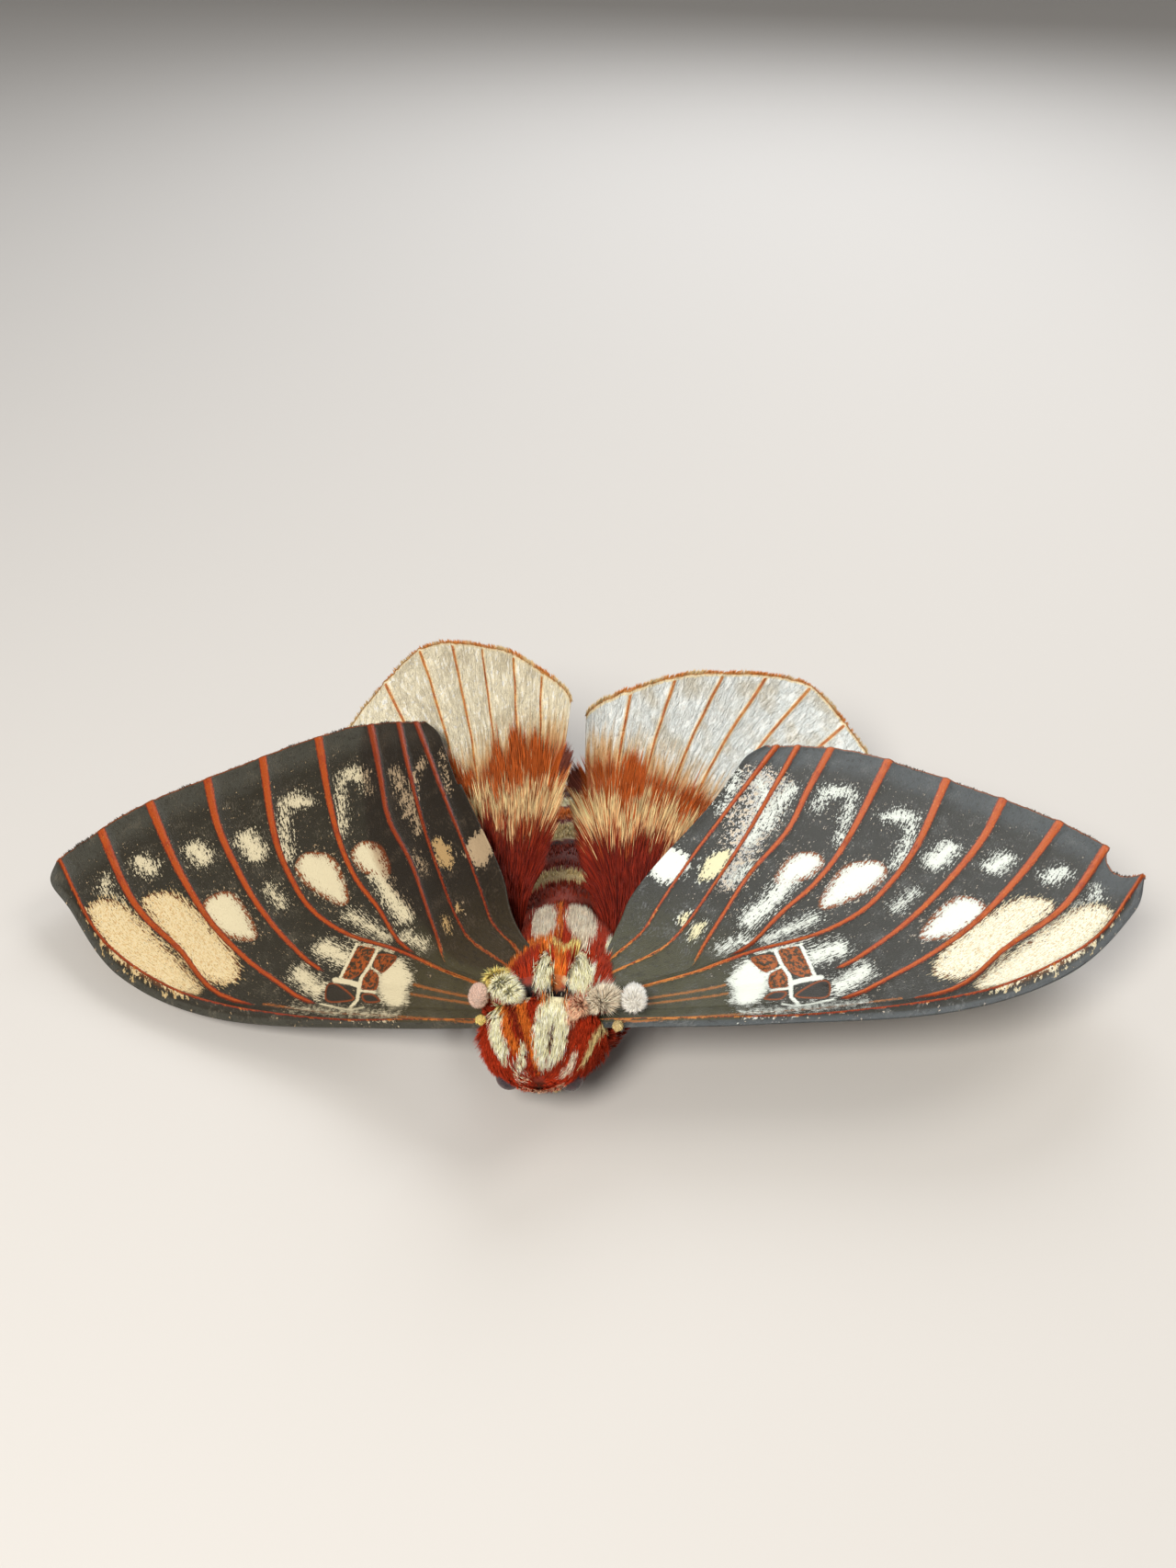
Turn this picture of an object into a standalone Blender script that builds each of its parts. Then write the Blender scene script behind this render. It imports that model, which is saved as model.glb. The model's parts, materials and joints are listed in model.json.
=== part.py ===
"""A royal moth at rest with its four wings spread, at life size.

The head points to -Y, the tail to +Y, and the animal's left side to +X.
The feet and the tail end stand on the plane z = 0.
Sizes and places are in millimetres, measured from the point on the floor below the
middle of the forewing roots, and each mesh is turned into metres as it is made.
"""
import math

import bmesh
import bpy
import numpy as np
from mathutils import Matrix, Vector

MM = 0.001
GAP = 0.3
SIDES = {"left": 1.0, "right": -1.0}

# The forewing roots' place, from the middle of the whole model's box
BODY_X = -0.74
BODY_Y = -21.14

# Body sections: place along Y, sideways shift, half width, top height, bottom height
FRONT_SECTIONS = [
    (-4.5, -1.45, 0.9, 8.5, 6.9),
    (-4.2, -1.5, 2.2, 9.5, 6.1),
    (-3.4, -1.6, 3.5, 10.4, 5.0),
    (-2.2, -1.6, 4.4, 11.2, 3.7),
    (-0.5, -1.45, 5.1, 12.0, 2.3),
    (1.5, -1.1, 5.6, 12.6, 1.7),
    (4.5, -0.5, 5.6, 12.9, 1.6),
    (8.5, 0.0, 5.3, 12.3, 1.6),
    (11.5, 0.0, 4.9, 11.2, 1.6),
    (13.7, 0.0, 4.5, 10.2, 1.6),
]
ABDOMEN_SECTIONS = [
    (14.0, 0.0, 4.4, 10.0, 1.5),
    (17.5, 0.0, 4.6, 9.8, 0.6),
    (22.0, -0.1, 4.4, 9.0, 0.0),
    (27.0, -0.25, 3.9, 7.9, -0.3),
    (31.5, -0.45, 3.2, 7.0, -0.3),
    (35.5, -0.6, 2.4, 6.0, 0.2),
    (39.0, -0.7, 0.9, 4.4, 1.4),
]
FRONT_STATIONS = 20
BODY_SIDES = 28
ABDOMEN_RINGS = 7
RING_GROOVE = 0.07
STATIONS_A_RING = 4
# The slanting cut that parts the head from the thorax
NECK_TOP = (-3.2, 9.9)
NECK_BOTTOM = (1.6, 1.6)

# Small pieces on the front body, placed from its middle line
EYE_RADIUS = 1.15
EYE_PLACE = (2.5, -2.0, 5.2)
PALP_SIZE = (0.55, 0.9, 0.45)
PALP_PLACE = (0.85, 0.6, 1.4)
# The white lobe over each forewing root: how far out it reaches, and its size
TEGULA_OUT = {"left": 6.9, "right": 7.5}
TEGULA_PLACE = (1.2, 11.2)
TEGULA_SIZE = (1.5, 0.9)

# Locks of the thorax's coat: place along, how many lie side by side, the angle from the
# top that they reach on each side, length and lift off the surface in degrees
LOCK_ROWS = [
    (-1.6, 4, 22, 2.6, 10),
    (1.0, 5, 24, 2.8, 16),
    (3.6, 7, 44, 3.2, 14),
    (6.4, 6, 46, 3.4, 12),
    (9.2, 6, 46, 3.4, 12),
]
LOCK_WIDTH, LOCK_THICKNESS, LOCK_SINK = 1.3, 0.6, 0.7
# Places along a lock, with the share of its width there; the first lies inside the body
LOCK_PROFILE = [(-0.15, 0.9), (0.25, 1.0), (0.65, 0.75), (1.0, 0.2)]
# Locks of a row differ this much in angle and in place
LOCK_TURN, LOCK_SHIFT = 3.0, 0.4
LOCK_SEED = 4

# Feelers, from the head's underside back beneath the body
ANTENNA_PATH = [(1.8, 0.2, 2.3), (1.95, 1.4, 1.1), (2.1, 3.9, 0.7), (2.6, 7.4, 0.7), (3.4, 10.8, 0.9)]
ANTENNA_RADII = [0.34, 0.36, 0.32, 0.27, 0.22]

# Legs: hip, knee, ankle and toes
LEG_PATHS = {
    "front": [(4.3, 4.0, 2.8), (6.2, 6.2, 3.8), (7.4, 8.2, 1.6), (8.3, 9.7, 0.22), (9.1, 10.9, 0.22)],
    "middle": [(4.3, 7.2, 2.8), (7.3, 9.4, 4.2), (9.6, 12.0, 1.6), (10.7, 13.8, 0.22), (11.6, 15.2, 0.22)],
    "hind": [(4.1, 10.6, 2.8), (6.9, 14.0, 4.0), (8.2, 18.0, 1.6), (9.0, 20.6, 0.22), (9.6, 22.4, 0.22)],
}
# Half the thickness of a leg at each of those places
LEG_RADII = [0.85, 0.6, 0.42, 0.3, 0.26]
LIMB_SIDES = 8

# Wings, flat: u runs from the root to the tip and v back towards the tail
WING_THICKNESS = 0.5
VEIN_HEIGHT = 0.22
VEIN_HALF_WIDTH = (0.3, 0.5)
# A vein takes up at most this share of the room beside it
VEIN_ROOM = 0.3
# It starts at this share of its height and has all of it after this length
VEIN_START, VEIN_RISE = 0.2, 3.0

FOREWING_OUTLINE = [
    (0.0, 0.0), (10.8, -2.9), (25.5, -6.5), (36.5, -5.9), (45.6, -1.4), (49.5, 2.4),
    (46.1, 12.4), (33.4, 24.4), (22.6, 27.5),
    (20.2, 26.4), (18.0, 24.4), (13.8, 20.5), (3.6, 12.3), (1.0, 6.5),
]
FOREWING_TIP, FOREWING_CORNER = 5, 8
# The right tip is whole and rounder; the left has a torn notch in the margin beside it
RIGHT_TIP = (50.1, 1.7)
NOTCH_DEPTH = {"left": 1.9, "right": 0.0}
# The notch lies between the front vein and the one behind it
NOTCH_VEIN = 2
# Each vein: its points from the root, where its end lies along the outer margin, and
# how far from the root it starts to stand up
FOREWING_VEINS = [
    ([(0.8, 0.5), (7.5, -1.2), (13.9, -3.0), (20.1, -4.3), (26.2, -5.2), (31.3, -5.3), (37.1, -4.3),
      (42.2, -2.3)], 0.015, 0),
    ([(0.8, 0.9), (10.0, -0.9), (18.0, -3.3), (26.4, -4.4), (32.9, -1.7), (38.1, 0.1), (42.3, 2.4)],
     0.175, 26),
    ([(0.8, 1.3), (9.0, -0.4), (17.1, -2.4), (22.1, -1.6), (26.6, -0.4), (31.8, 1.7), (37.5, 5.0),
      (42.0, 8.1)], 0.308, 0),
    ([(0.8, 1.8), (9.0, 1.4), (17.4, 0.5), (22.8, 2.0), (28.1, 4.5), (32.9, 7.5), (38.1, 11.3)], 0.429, 17),
    ([(0.8, 2.4), (6.6, 3.6), (12.1, 4.3), (17.5, 4.4), (22.5, 5.6), (26.8, 8.1), (31.6, 12.0)], 0.528, 0),
    ([(0.8, 2.9), (6.6, 4.1), (11.6, 5.2), (15.1, 7.1), (20.6, 10.1), (25.9, 14.6)], 0.638, 12),
    ([(0.8, 3.4), (5.6, 4.9), (10.3, 7.9), (15.1, 12.5), (20.2, 16.3), (24.4, 21.0)], 0.780, 7),
    ([(0.9, 4.6), (3.8, 6.0), (7.4, 8.4), (11.3, 11.9), (16.0, 16.4), (21.2, 21.9)], 0.875, 0),
    ([(0.9, 5.6), (5.2, 10.3), (10.1, 15.0), (15.1, 19.5)], 0.948, 0),
]
FOREWING_STATIONS = 19

HINDWING_OUTLINE = [
    (0.0, 0.0), (15.0, -4.5), (30.0, -4.0), (36.8, 2.2),
    (39.0, 9.6), (37.2, 16.8), (26.7, 21.6), (19.3, 23.1), (11.2, 23.1),
    (8.0, 18.1), (4.7, 12.2), (0.5, 3.0),
]
HINDWING_TIP, HINDWING_CORNER = 3, 8
# Where the veins end along the outer margin, where they start, and how far they bow
HINDWING_VEIN_ENDS = [0.239, 0.38, 0.482, 0.57, 0.709, 0.855]
HINDWING_VEIN_ROOT, HINDWING_VEIN_STEP, HINDWING_VEIN_BOW = (0.6, 0.4), (0.05, 0.38), 0.03
HINDWING_STATIONS = 13

FOREWING_ROOT = (6.1, 0.0, 8.8)
HINDWING_ROOT = (6.0, 7.9, 6.5)
# Angles in degrees; droop, camber and twist are heights in millimetres
FOREWING_POSES = {
    "left": {"sweep": 17.8, "lift": 4.1, "incidence": 15.2,
             "droop": 1.5, "camber": -0.4, "twist": -6.3, "fold": 0.0},
    "right": {"sweep": 31.7, "lift": -14.0, "incidence": 32.4,
              "droop": -8.9, "camber": 0.0, "twist": -6.9, "fold": 15.3},
}
FOLD_LINE = ((0.0, 5.0), (22.5, 30.0))
HINDWING_POSES = {
    "left": {"sweep": 41.7, "lift": 0.6, "incidence": 26.9,
             "droop": 1.0, "camber": -3.8, "twist": 0.6, "fold": 0.0},
    "right": {"sweep": 54.2, "lift": 1.0, "incidence": 48.0,
              "droop": 1.2, "camber": -1.9, "twist": -3.0, "fold": 0.0},
}
FOREWING_REACH = 49.0
HINDWING_REACH = 31.0
CAMBER_MIDDLE, CAMBER_REACH, TWIST_REACH = 10.0, 15.0, 20.0
ROOT_BLEND = 0.16
NARROWEST_ROOT = 4.4

COLOURS = {
    "coat": ((0.45, 0.08, 0.03), 0.9),
    "cream": ((0.75, 0.68, 0.5), 0.9),
    "eye": ((0.03, 0.012, 0.015), 0.25),
    "feeler": ((0.4, 0.16, 0.05), 0.7),
    "leg": ((0.3, 0.06, 0.03), 0.8),
    "forewing": ((0.1, 0.1, 0.1), 0.7),
    "hindwing": ((0.62, 0.57, 0.45), 0.7),
}


def material(name):
    """The named colour as a Principled material, made once."""
    found = bpy.data.materials.get(name)
    if found:
        return found
    made = bpy.data.materials.new(name)
    made.use_nodes = True
    shader = made.node_tree.nodes["Principled BSDF"]
    colour, roughness = COLOURS[name]
    shader.inputs["Base Color"].default_value = (*colour, 1.0)
    shader.inputs["Roughness"].default_value = roughness
    shader.inputs["Metallic"].default_value = 0.0
    return made


def finish(name, bm, colour):
    """Moves the shape from body millimetres to the model's metres and links it."""
    bmesh.ops.translate(bm, verts=bm.verts, vec=Vector((BODY_X, BODY_Y, 0.0)))
    bmesh.ops.scale(bm, verts=bm.verts, vec=Vector((MM, MM, MM)))
    bmesh.ops.triangulate(bm, faces=[face for face in bm.faces if len(face.verts) > 3])
    bmesh.ops.recalc_face_normals(bm, faces=bm.faces)
    mesh = bpy.data.meshes.new(name)
    bm.to_mesh(mesh)
    bm.free()
    mesh.shade_smooth()
    mesh.materials.append(material(colour))
    piece = bpy.data.objects.new(name, mesh)
    bpy.context.scene.collection.objects.link(piece)
    return piece


def curve(points, at):
    """The place at a number of steps along a smooth curve through the points."""
    whole = np.array(points, dtype=float)
    ends = np.vstack([2 * whole[0] - whole[1], whole, 2 * whole[-1] - whole[-2]])
    step = min(int(at), len(whole) - 2)
    t = at - step
    a, b, c, d = ends[step:step + 4]
    bend = (2 * a - 5 * b + 4 * c - d) * t ** 2 + (3 * b - a - 3 * c + d) * t ** 3
    return 0.5 * (2 * b + (c - a) * t + bend)


def evenly(points, count):
    """Places at even distances along a smooth curve through the points."""
    fine = np.array([curve(points, at) for at in np.linspace(0, len(points) - 1, 12 * len(points))])
    length = np.concatenate([[0], np.cumsum(np.linalg.norm(np.diff(fine, axis=0), axis=1))])
    wanted = np.linspace(0, length[-1], count)
    return np.stack([np.interp(wanted, length, fine[:, k]) for k in range(fine.shape[1])], axis=1)


def section(sections, y):
    """Sideways shift, half width, middle height and half height of a body at a place along it."""
    table = np.array(sections)
    at = float(np.interp(y, table[:, 0], np.arange(len(table))))
    _, shift, width, top, bottom = curve(sections, at)
    return shift, width, (top + bottom) / 2, (top - bottom) / 2


def side_of(sections, y, z, sign):
    """Where the body's side lies at a height, from the middle plane and towards one side."""
    shift, width, middle, half = section(sections, min(max(y, sections[0][0]), sections[-1][0]))
    across = max(1 - ((z - middle) / half) ** 2, 0.0)
    return sign * shift + width * math.sqrt(across)


def clear_of(sections, point, gap):
    """The point, moved out sideways and up or down until it clears the body."""
    x, y, z = point
    if not sections[0][0] - gap < y < sections[-1][0] + gap:
        return point
    shift, width, middle, half = section(sections, min(max(y, sections[0][0]), sections[-1][0]))
    out = math.hypot((x - shift) / (width + gap), (z - middle) / (half + gap))
    if out >= 1 or out == 0:
        return point
    return (shift + (x - shift) / out, y, middle + (z - middle) / out)


def loft(bm, rings):
    """Joins rings of points, all of one count, into a closed body with flat ends."""
    loops = []
    for index, ring in enumerate(rings):
        is_end = index in (0, len(rings) - 1)
        made = bmesh.ops.create_circle(bm, segments=len(ring), radius=1.0, cap_ends=is_end, cap_tris=False)
        verts = made["verts"]
        for vert, place in zip(verts, ring):
            vert.co = place
        edges = {edge for vert in verts for edge in vert.link_edges}
        loops.append([edge for edge in edges if all(v in verts for v in edge.verts)])
    for near, far in zip(loops, loops[1:]):
        bmesh.ops.bridge_loops(bm, edges=near + far)
    return bm


def body_ring(sections, y, swell=1.0):
    """An oval ring of points across the body, laid flat where it would pass the floor."""
    shift, width, middle, half = section(sections, y)
    ring = []
    for k in range(BODY_SIDES):
        angle = math.tau * k / BODY_SIDES
        x = shift + width * swell * math.cos(angle)
        z = middle + half * swell * math.sin(angle)
        ring.append(Vector((x, y, max(z, 0.0))))
    return ring


def front_body(name, forward):
    """The head or the thorax: the whole front body, parted by a thin slanting cut."""
    places = np.linspace(FRONT_SECTIONS[0][0], FRONT_SECTIONS[-1][0], FRONT_STATIONS)
    bm = loft(bmesh.new(), [body_ring(FRONT_SECTIONS, y) for y in places])
    along = Vector((0.0, NECK_BOTTOM[0] - NECK_TOP[0], NECK_BOTTOM[1] - NECK_TOP[1])).normalized()
    ahead = Vector((0.0, along.z, -along.y))
    middle = Vector((0.0, *NECK_TOP)) + ahead * (GAP / 2 if forward else -GAP / 2)
    geometry = bm.verts[:] + bm.edges[:] + bm.faces[:]
    cut = bmesh.ops.bisect_plane(bm, geom=geometry, dist=0.001, plane_co=middle, plane_no=ahead,
                                 clear_outer=not forward, clear_inner=forward)
    rim = [item for item in cut["geom_cut"] if isinstance(item, bmesh.types.BMEdge)]
    bmesh.ops.edgeloop_fill(bm, edges=rim)
    return finish(name, bm, "coat")


def surface(sections, angle, y):
    """A place on a body's surface at an angle from the top in degrees, and the way out."""
    shift, width, middle, half = section(sections, y)
    turn = math.radians(angle)
    place = Vector((shift + width * math.sin(turn), y, middle + half * math.cos(turn)))
    out = Vector((math.sin(turn) / width, 0.0, math.cos(turn) / half)).normalized()
    return place, out


def make_lock(angle, y, length, lift):
    """A flat tapered lock of hair, its root sunk in the body and its tip lying back."""
    place, out = surface(FRONT_SECTIONS, angle, y)
    ahead, _ = surface(FRONT_SECTIONS, angle, y + 1.0)
    along = (ahead - place).normalized()
    side = along.cross(out).normalized()
    rise = math.radians(lift)
    rings = []
    for share, width in LOCK_PROFILE:
        bend = rise * (1.0 - max(share, 0.0) / 2)
        centre = place + (along * math.cos(bend) + out * math.sin(bend)) * length * share
        centre = centre - out * LOCK_SINK * (1.0 - max(share, 0.0)) ** 2
        half_width = LOCK_WIDTH / 2 * width
        half_thick = LOCK_THICKNESS / 2 * (width if share > 0.5 else 1.0)
        rings.append([centre + side * half_width, centre + out * half_thick,
                      centre - side * half_width, centre - out * half_thick])
    bm = loft(bmesh.new(), rings)
    return finish("lock", bm, "coat")


def add_locks(thorax):
    """Fuses rows of locks with the thorax and keeps its one closed surface."""
    rng = np.random.default_rng(LOCK_SEED)
    locks = bpy.data.collections.new("locks")
    for y, count, reach, length, lift in LOCK_ROWS:
        for angle in np.linspace(-reach, reach, count):
            spot = angle + rng.uniform(-LOCK_TURN, LOCK_TURN)
            place = y + rng.uniform(-LOCK_SHIFT, LOCK_SHIFT)
            lock = make_lock(spot, place, length * rng.uniform(0.85, 1.1), lift * rng.uniform(0.8, 1.2))
            locks.objects.link(lock)
    join = thorax.modifiers.new("locks", "BOOLEAN")
    join.operation = "UNION"
    join.operand_type = "COLLECTION"
    join.collection = locks
    bpy.context.view_layer.update()
    whole = bpy.data.meshes.new_from_object(thorax.evaluated_get(bpy.context.evaluated_depsgraph_get()))
    thorax.modifiers.remove(join)
    for lock in list(locks.objects):
        bpy.data.objects.remove(lock, do_unlink=True)
    bpy.data.collections.remove(locks)
    thorax.data = keep_largest(whole)


def keep_largest(mesh):
    """Leaves only the largest closed surface of a mesh."""
    bm = bmesh.new()
    bm.from_mesh(mesh)
    bmesh.ops.triangulate(bm, faces=[face for face in bm.faces if len(face.verts) > 3])
    left = set(bm.verts)
    groups = []
    while left:
        group = set()
        waiting = [left.pop()]
        while waiting:
            vert = waiting.pop()
            group.add(vert)
            near = {edge.other_vert(vert) for edge in vert.link_edges} & left
            left -= near
            waiting.extend(near)
        groups.append(group)
    largest = max(groups, key=len)
    bmesh.ops.delete(bm, geom=[vert for vert in bm.verts if vert not in largest], context="VERTS")
    bm.to_mesh(mesh)
    bm.free()
    mesh.shade_smooth()
    return mesh


def make_abdomen():
    """Seven rings, each parted from the next by a shallow groove."""
    first, last = ABDOMEN_SECTIONS[0][0], ABDOMEN_SECTIONS[-1][0]
    count = ABDOMEN_RINGS * STATIONS_A_RING
    rings = []
    for k in range(count + 1):
        share = k / count
        groove = 0.5 + 0.5 * math.cos(math.tau * share * ABDOMEN_RINGS)
        swell = 1 - RING_GROOVE * groove ** 3 * (0 < k < count)
        rings.append(body_ring(ABDOMEN_SECTIONS, first + share * (last - first), swell))
    return finish("abdomen", loft(bmesh.new(), rings), "coat")


def knob(name, place, size, colour, segments, rings, pressed=True):
    """A rounded lump, pressed flat where it would enter the front body."""
    bm = bmesh.new()
    bmesh.ops.create_uvsphere(bm, u_segments=segments, v_segments=rings, radius=1.0)
    for vert in bm.verts:
        point = tuple(place[k] + vert.co[k] * size[k] for k in range(3))
        vert.co = clear_of(FRONT_SECTIONS, point, GAP) if pressed else point
    return finish(name, bm, colour)


def beside(side, place):
    """A place given from the front body's middle line, on one side of it."""
    x, y, z = place
    shift = section(FRONT_SECTIONS, min(y, FRONT_SECTIONS[-1][0]))[0]
    return (shift + SIDES[side] * x, y, z)


def make_eye(side, head):
    """An eye, with the socket that it sits in cut from the head."""
    place = beside(side, EYE_PLACE)
    eye = knob(f"eye_{side}", place, [EYE_RADIUS] * 3, "eye", 20, 12, pressed=False)
    socket = knob(f"socket_{side}", place, [EYE_RADIUS + GAP] * 3, "eye", 24, 14, pressed=False)
    socket.hide_render = True
    socket.display_type = "WIRE"
    cut = head.modifiers.new(f"socket_{side}", "BOOLEAN")
    cut.operation = "DIFFERENCE"
    cut.object = socket
    return eye


def make_tegula(side):
    """The lobe over a forewing root, from the thorax's side out to its named reach."""
    y, z = TEGULA_PLACE
    inner = side_of(FRONT_SECTIONS, y, z, SIDES[side])
    outer = TEGULA_OUT[side]
    place = (SIDES[side] * (inner + outer) / 2, y, z)
    return knob(f"tegula_{side}", place, ((outer - inner) / 2 + 0.1, *TEGULA_SIZE), "cream", 16, 10)


def make_limb(name, path, radii, side, stations, colour):
    """A round tapered limb along a smooth path, kept above the floor and clear of the body."""
    line = evenly([beside(side, place) for place in path], stations)
    radius = np.interp(np.linspace(0, len(radii) - 1, stations), np.arange(len(radii)), radii)
    rings = []
    for k, centre in enumerate(line):
        ahead = Vector(line[min(k + 1, stations - 1)] - line[max(k - 1, 0)]).normalized()
        across = ahead.cross(Vector((0, 0, 1))).normalized()
        up = across.cross(ahead).normalized()
        ring = []
        for j in range(LIMB_SIDES):
            angle = math.tau * j / LIMB_SIDES
            point = Vector(centre) + (across * math.cos(angle) + up * math.sin(angle)) * radius[k]
            point = Vector(clear_of(FRONT_SECTIONS, tuple(point), GAP))
            point.z = max(point.z, 0.0)
            ring.append(point)
        rings.append(ring)
    return finish(f"{name}_{side}", loft(bmesh.new(), rings), colour)


def folded(point, flat, degrees):
    """Turns what lies behind the fold line about that line."""
    start, end = (Vector((*place, 0.0)) for place in FOLD_LINE)
    along = (end - start).normalized()
    behind = Vector((-along.y, along.x, 0.0)).dot(Vector((*flat, 0.0)) - start)
    if degrees == 0 or behind <= 0:
        return point
    return start + Matrix.Rotation(math.radians(degrees), 3, along) @ (point - start)


def wing_place(flat, pose, root, reach, sign):
    """Where a point of the flat wing lies once the wing is bent, turned and set on its root."""
    u, v = flat
    lift = -pose["droop"] * (u / reach) ** 2
    lift -= pose["camber"] * ((v - CAMBER_MIDDLE) / CAMBER_REACH) ** 2
    lift += pose["twist"] * (u / reach) * (v / TWIST_REACH)
    point = folded(Vector((u, v, lift)), flat, pose["fold"])
    turn = Matrix.Rotation(math.radians(pose["sweep"]), 3, "Z")
    turn @= Matrix.Rotation(math.radians(-pose["lift"]), 3, "Y")
    turn @= Matrix.Rotation(math.radians(pose["incidence"]), 3, "X")
    point = turn @ point
    return Vector((sign * (point.x + root[0]), point.y + root[1], point.z + root[2]))


def wing_lines(outline, tip, corner, veins, stations, notch=0.0):
    """Flat lines from the root to the outer margin, each with its height as a ridge."""
    front = evenly(outline[:tip + 1], stations)
    back = evenly(outline[:corner - 1:-1], stations)
    span = corner - tip

    def margin(share):
        return curve(outline, tip + share * span)

    rays = [front]
    for points, end, _ in veins:
        rays.append(evenly(points + [tuple(margin(end))], stations))
    rays.append(back)
    shares = [0.0] + [end for _, end, _ in veins] + [1.0]
    spread = np.linspace(0, 1, stations)
    lines = [(front, np.zeros(stations))]
    for k in range(1, len(rays)):
        near, far = rays[k - 1], rays[k]
        middle = (near + far) / 2
        target = margin((shares[k - 1] + shares[k]) / 2)
        if k == NOTCH_VEIN:
            inward = near[-2] - near[-1]
            target = target + inward / np.linalg.norm(inward) * notch
        middle = middle + np.outer(spread ** 3, target - middle[-1])
        lines.append((middle, np.zeros(stations)))
        if k == len(rays) - 1:
            break
        _, _, starts = veins[k - 1]
        room_near = np.linalg.norm(far - near, axis=1)
        room_far = np.linalg.norm(rays[k + 1] - far, axis=1)
        room = VEIN_ROOM * np.minimum(room_near, room_far)
        width = np.minimum(np.interp(spread, [0, 1], VEIN_HALF_WIDTH), room)
        ahead = np.gradient(far, axis=0)
        normal = np.stack([-ahead[:, 1], ahead[:, 0]], axis=1)
        normal /= np.linalg.norm(normal, axis=1)[:, None]
        height = VEIN_HEIGHT * np.clip((far[:, 0] - starts) / VEIN_RISE + VEIN_START, 0, 1)
        lines.append((far - normal * width[:, None], np.zeros(stations)))
        lines.append((far, height))
        lines.append((far + normal * width[:, None], np.zeros(stations)))
    lines.append((back, np.zeros(stations)))
    return lines


def make_wing(name, colour, lines, pose, root, reach, sign):
    """A thin bent sheet with raised veins, its two faces split into triangles alike."""
    rows, columns = len(lines), len(lines[0][0])
    bm = bmesh.new()
    bmesh.ops.create_grid(bm, x_segments=rows - 1, y_segments=columns - 1, size=0.5)
    station = bm.verts.layers.int.new("station")
    places, heights = [], []
    for vert in bm.verts:
        row = round((vert.co.x + 0.5) * (rows - 1))
        column = round((vert.co.y + 0.5) * (columns - 1))
        flat, ridge = lines[row]
        point = wing_place(flat[column], pose, root, reach, sign)
        share = column / (columns - 1)
        if share < ROOT_BLEND:
            seat = max(side_of(FRONT_SECTIONS, point.y, point.z, sign), NARROWEST_ROOT) + GAP
            weight = (1 - share / ROOT_BLEND) ** 2
            point.x += (sign * seat - point.x) * weight
        vert[station] = len(places)
        places.append(point)
        heights.append(ridge[column])
    for vert in bm.verts:
        vert.co = places[vert[station]]
    bmesh.ops.triangulate(bm, faces=bm.faces, quad_method="FIXED")
    bm.normal_update()
    up = [Vector()] * len(places)
    for vert in bm.verts:
        up[vert[station]] = vert.normal.copy() * (1 if vert.normal.z > 0 else -1)
    doubled = bmesh.ops.extrude_face_region(bm, geom=bm.faces[:], use_keep_orig=True)
    lower = {item for item in doubled["geom"] if isinstance(item, bmesh.types.BMVert)}
    for vert in bm.verts:
        index = vert[station]
        half = WING_THICKNESS / 2 + heights[index]
        vert.co = places[index] + up[index] * (-half if vert in lower else half)
        vert.co = clear_of(FRONT_SECTIONS, tuple(vert.co), GAP)
    return finish(name, bm, colour)


def hindwing_veins():
    """Gently bowed veins from the root to the outer margin."""
    span = HINDWING_CORNER - HINDWING_TIP
    veins = []
    for k, end in enumerate(HINDWING_VEIN_ENDS):
        base = np.array(HINDWING_VEIN_ROOT) + k * np.array(HINDWING_VEIN_STEP)
        tip = curve(HINDWING_OUTLINE, HINDWING_TIP + end * span)
        bow = np.array([-(tip - base)[1], (tip - base)[0]]) * HINDWING_VEIN_BOW
        middle = [tuple(base + (tip - base) * share + bow) for share in (0.35, 0.7)]
        veins.append(([tuple(base)] + middle, end, 0))
    return veins


def main():
    for old in list(bpy.data.objects):
        bpy.data.objects.remove(old, do_unlink=True)
    head = front_body("head", True)
    add_locks(front_body("thorax", False))
    make_abdomen()
    hind = wing_lines(HINDWING_OUTLINE, HINDWING_TIP, HINDWING_CORNER, hindwing_veins(), HINDWING_STATIONS)
    for side, sign in SIDES.items():
        outline = list(FOREWING_OUTLINE)
        if side == "right":
            outline[FOREWING_TIP] = RIGHT_TIP
        fore = wing_lines(outline, FOREWING_TIP, FOREWING_CORNER, FOREWING_VEINS, FOREWING_STATIONS,
                          NOTCH_DEPTH[side])
        make_wing(f"forewing_{side}", "forewing", fore, FOREWING_POSES[side], FOREWING_ROOT,
                  FOREWING_REACH, sign)
        make_wing(f"hindwing_{side}", "hindwing", hind, HINDWING_POSES[side], HINDWING_ROOT,
                  HINDWING_REACH, sign)
        make_eye(side, head)
        knob(f"palp_{side}", beside(side, PALP_PLACE), PALP_SIZE, "cream", 12, 8)
        make_tegula(side)
        make_limb("antenna", ANTENNA_PATH, ANTENNA_RADII, side, 16, "feeler")
        for pair, path in LEG_PATHS.items():
            make_limb(f"leg_{pair}", path, LEG_RADII, side, 17, "leg")


main()
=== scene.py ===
"""Dresses a royal moth at rest: scaled and veined wings, a furry body, eyes, feelers and legs.

Lengths in this file are millimetres from the point on the floor below the middle of the
forewing roots, unless a name says otherwise. +X is the animal's left side, +Y its tail and
+Z up. Meshes are turned into metres in the model's frame as they are made.
"""

import json
import math

import bmesh
import bpy
import numpy as np
from bpy.props import FloatProperty, FloatVectorProperty, IntProperty, PointerProperty
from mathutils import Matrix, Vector
from mathutils.kdtree import KDTree

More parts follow.
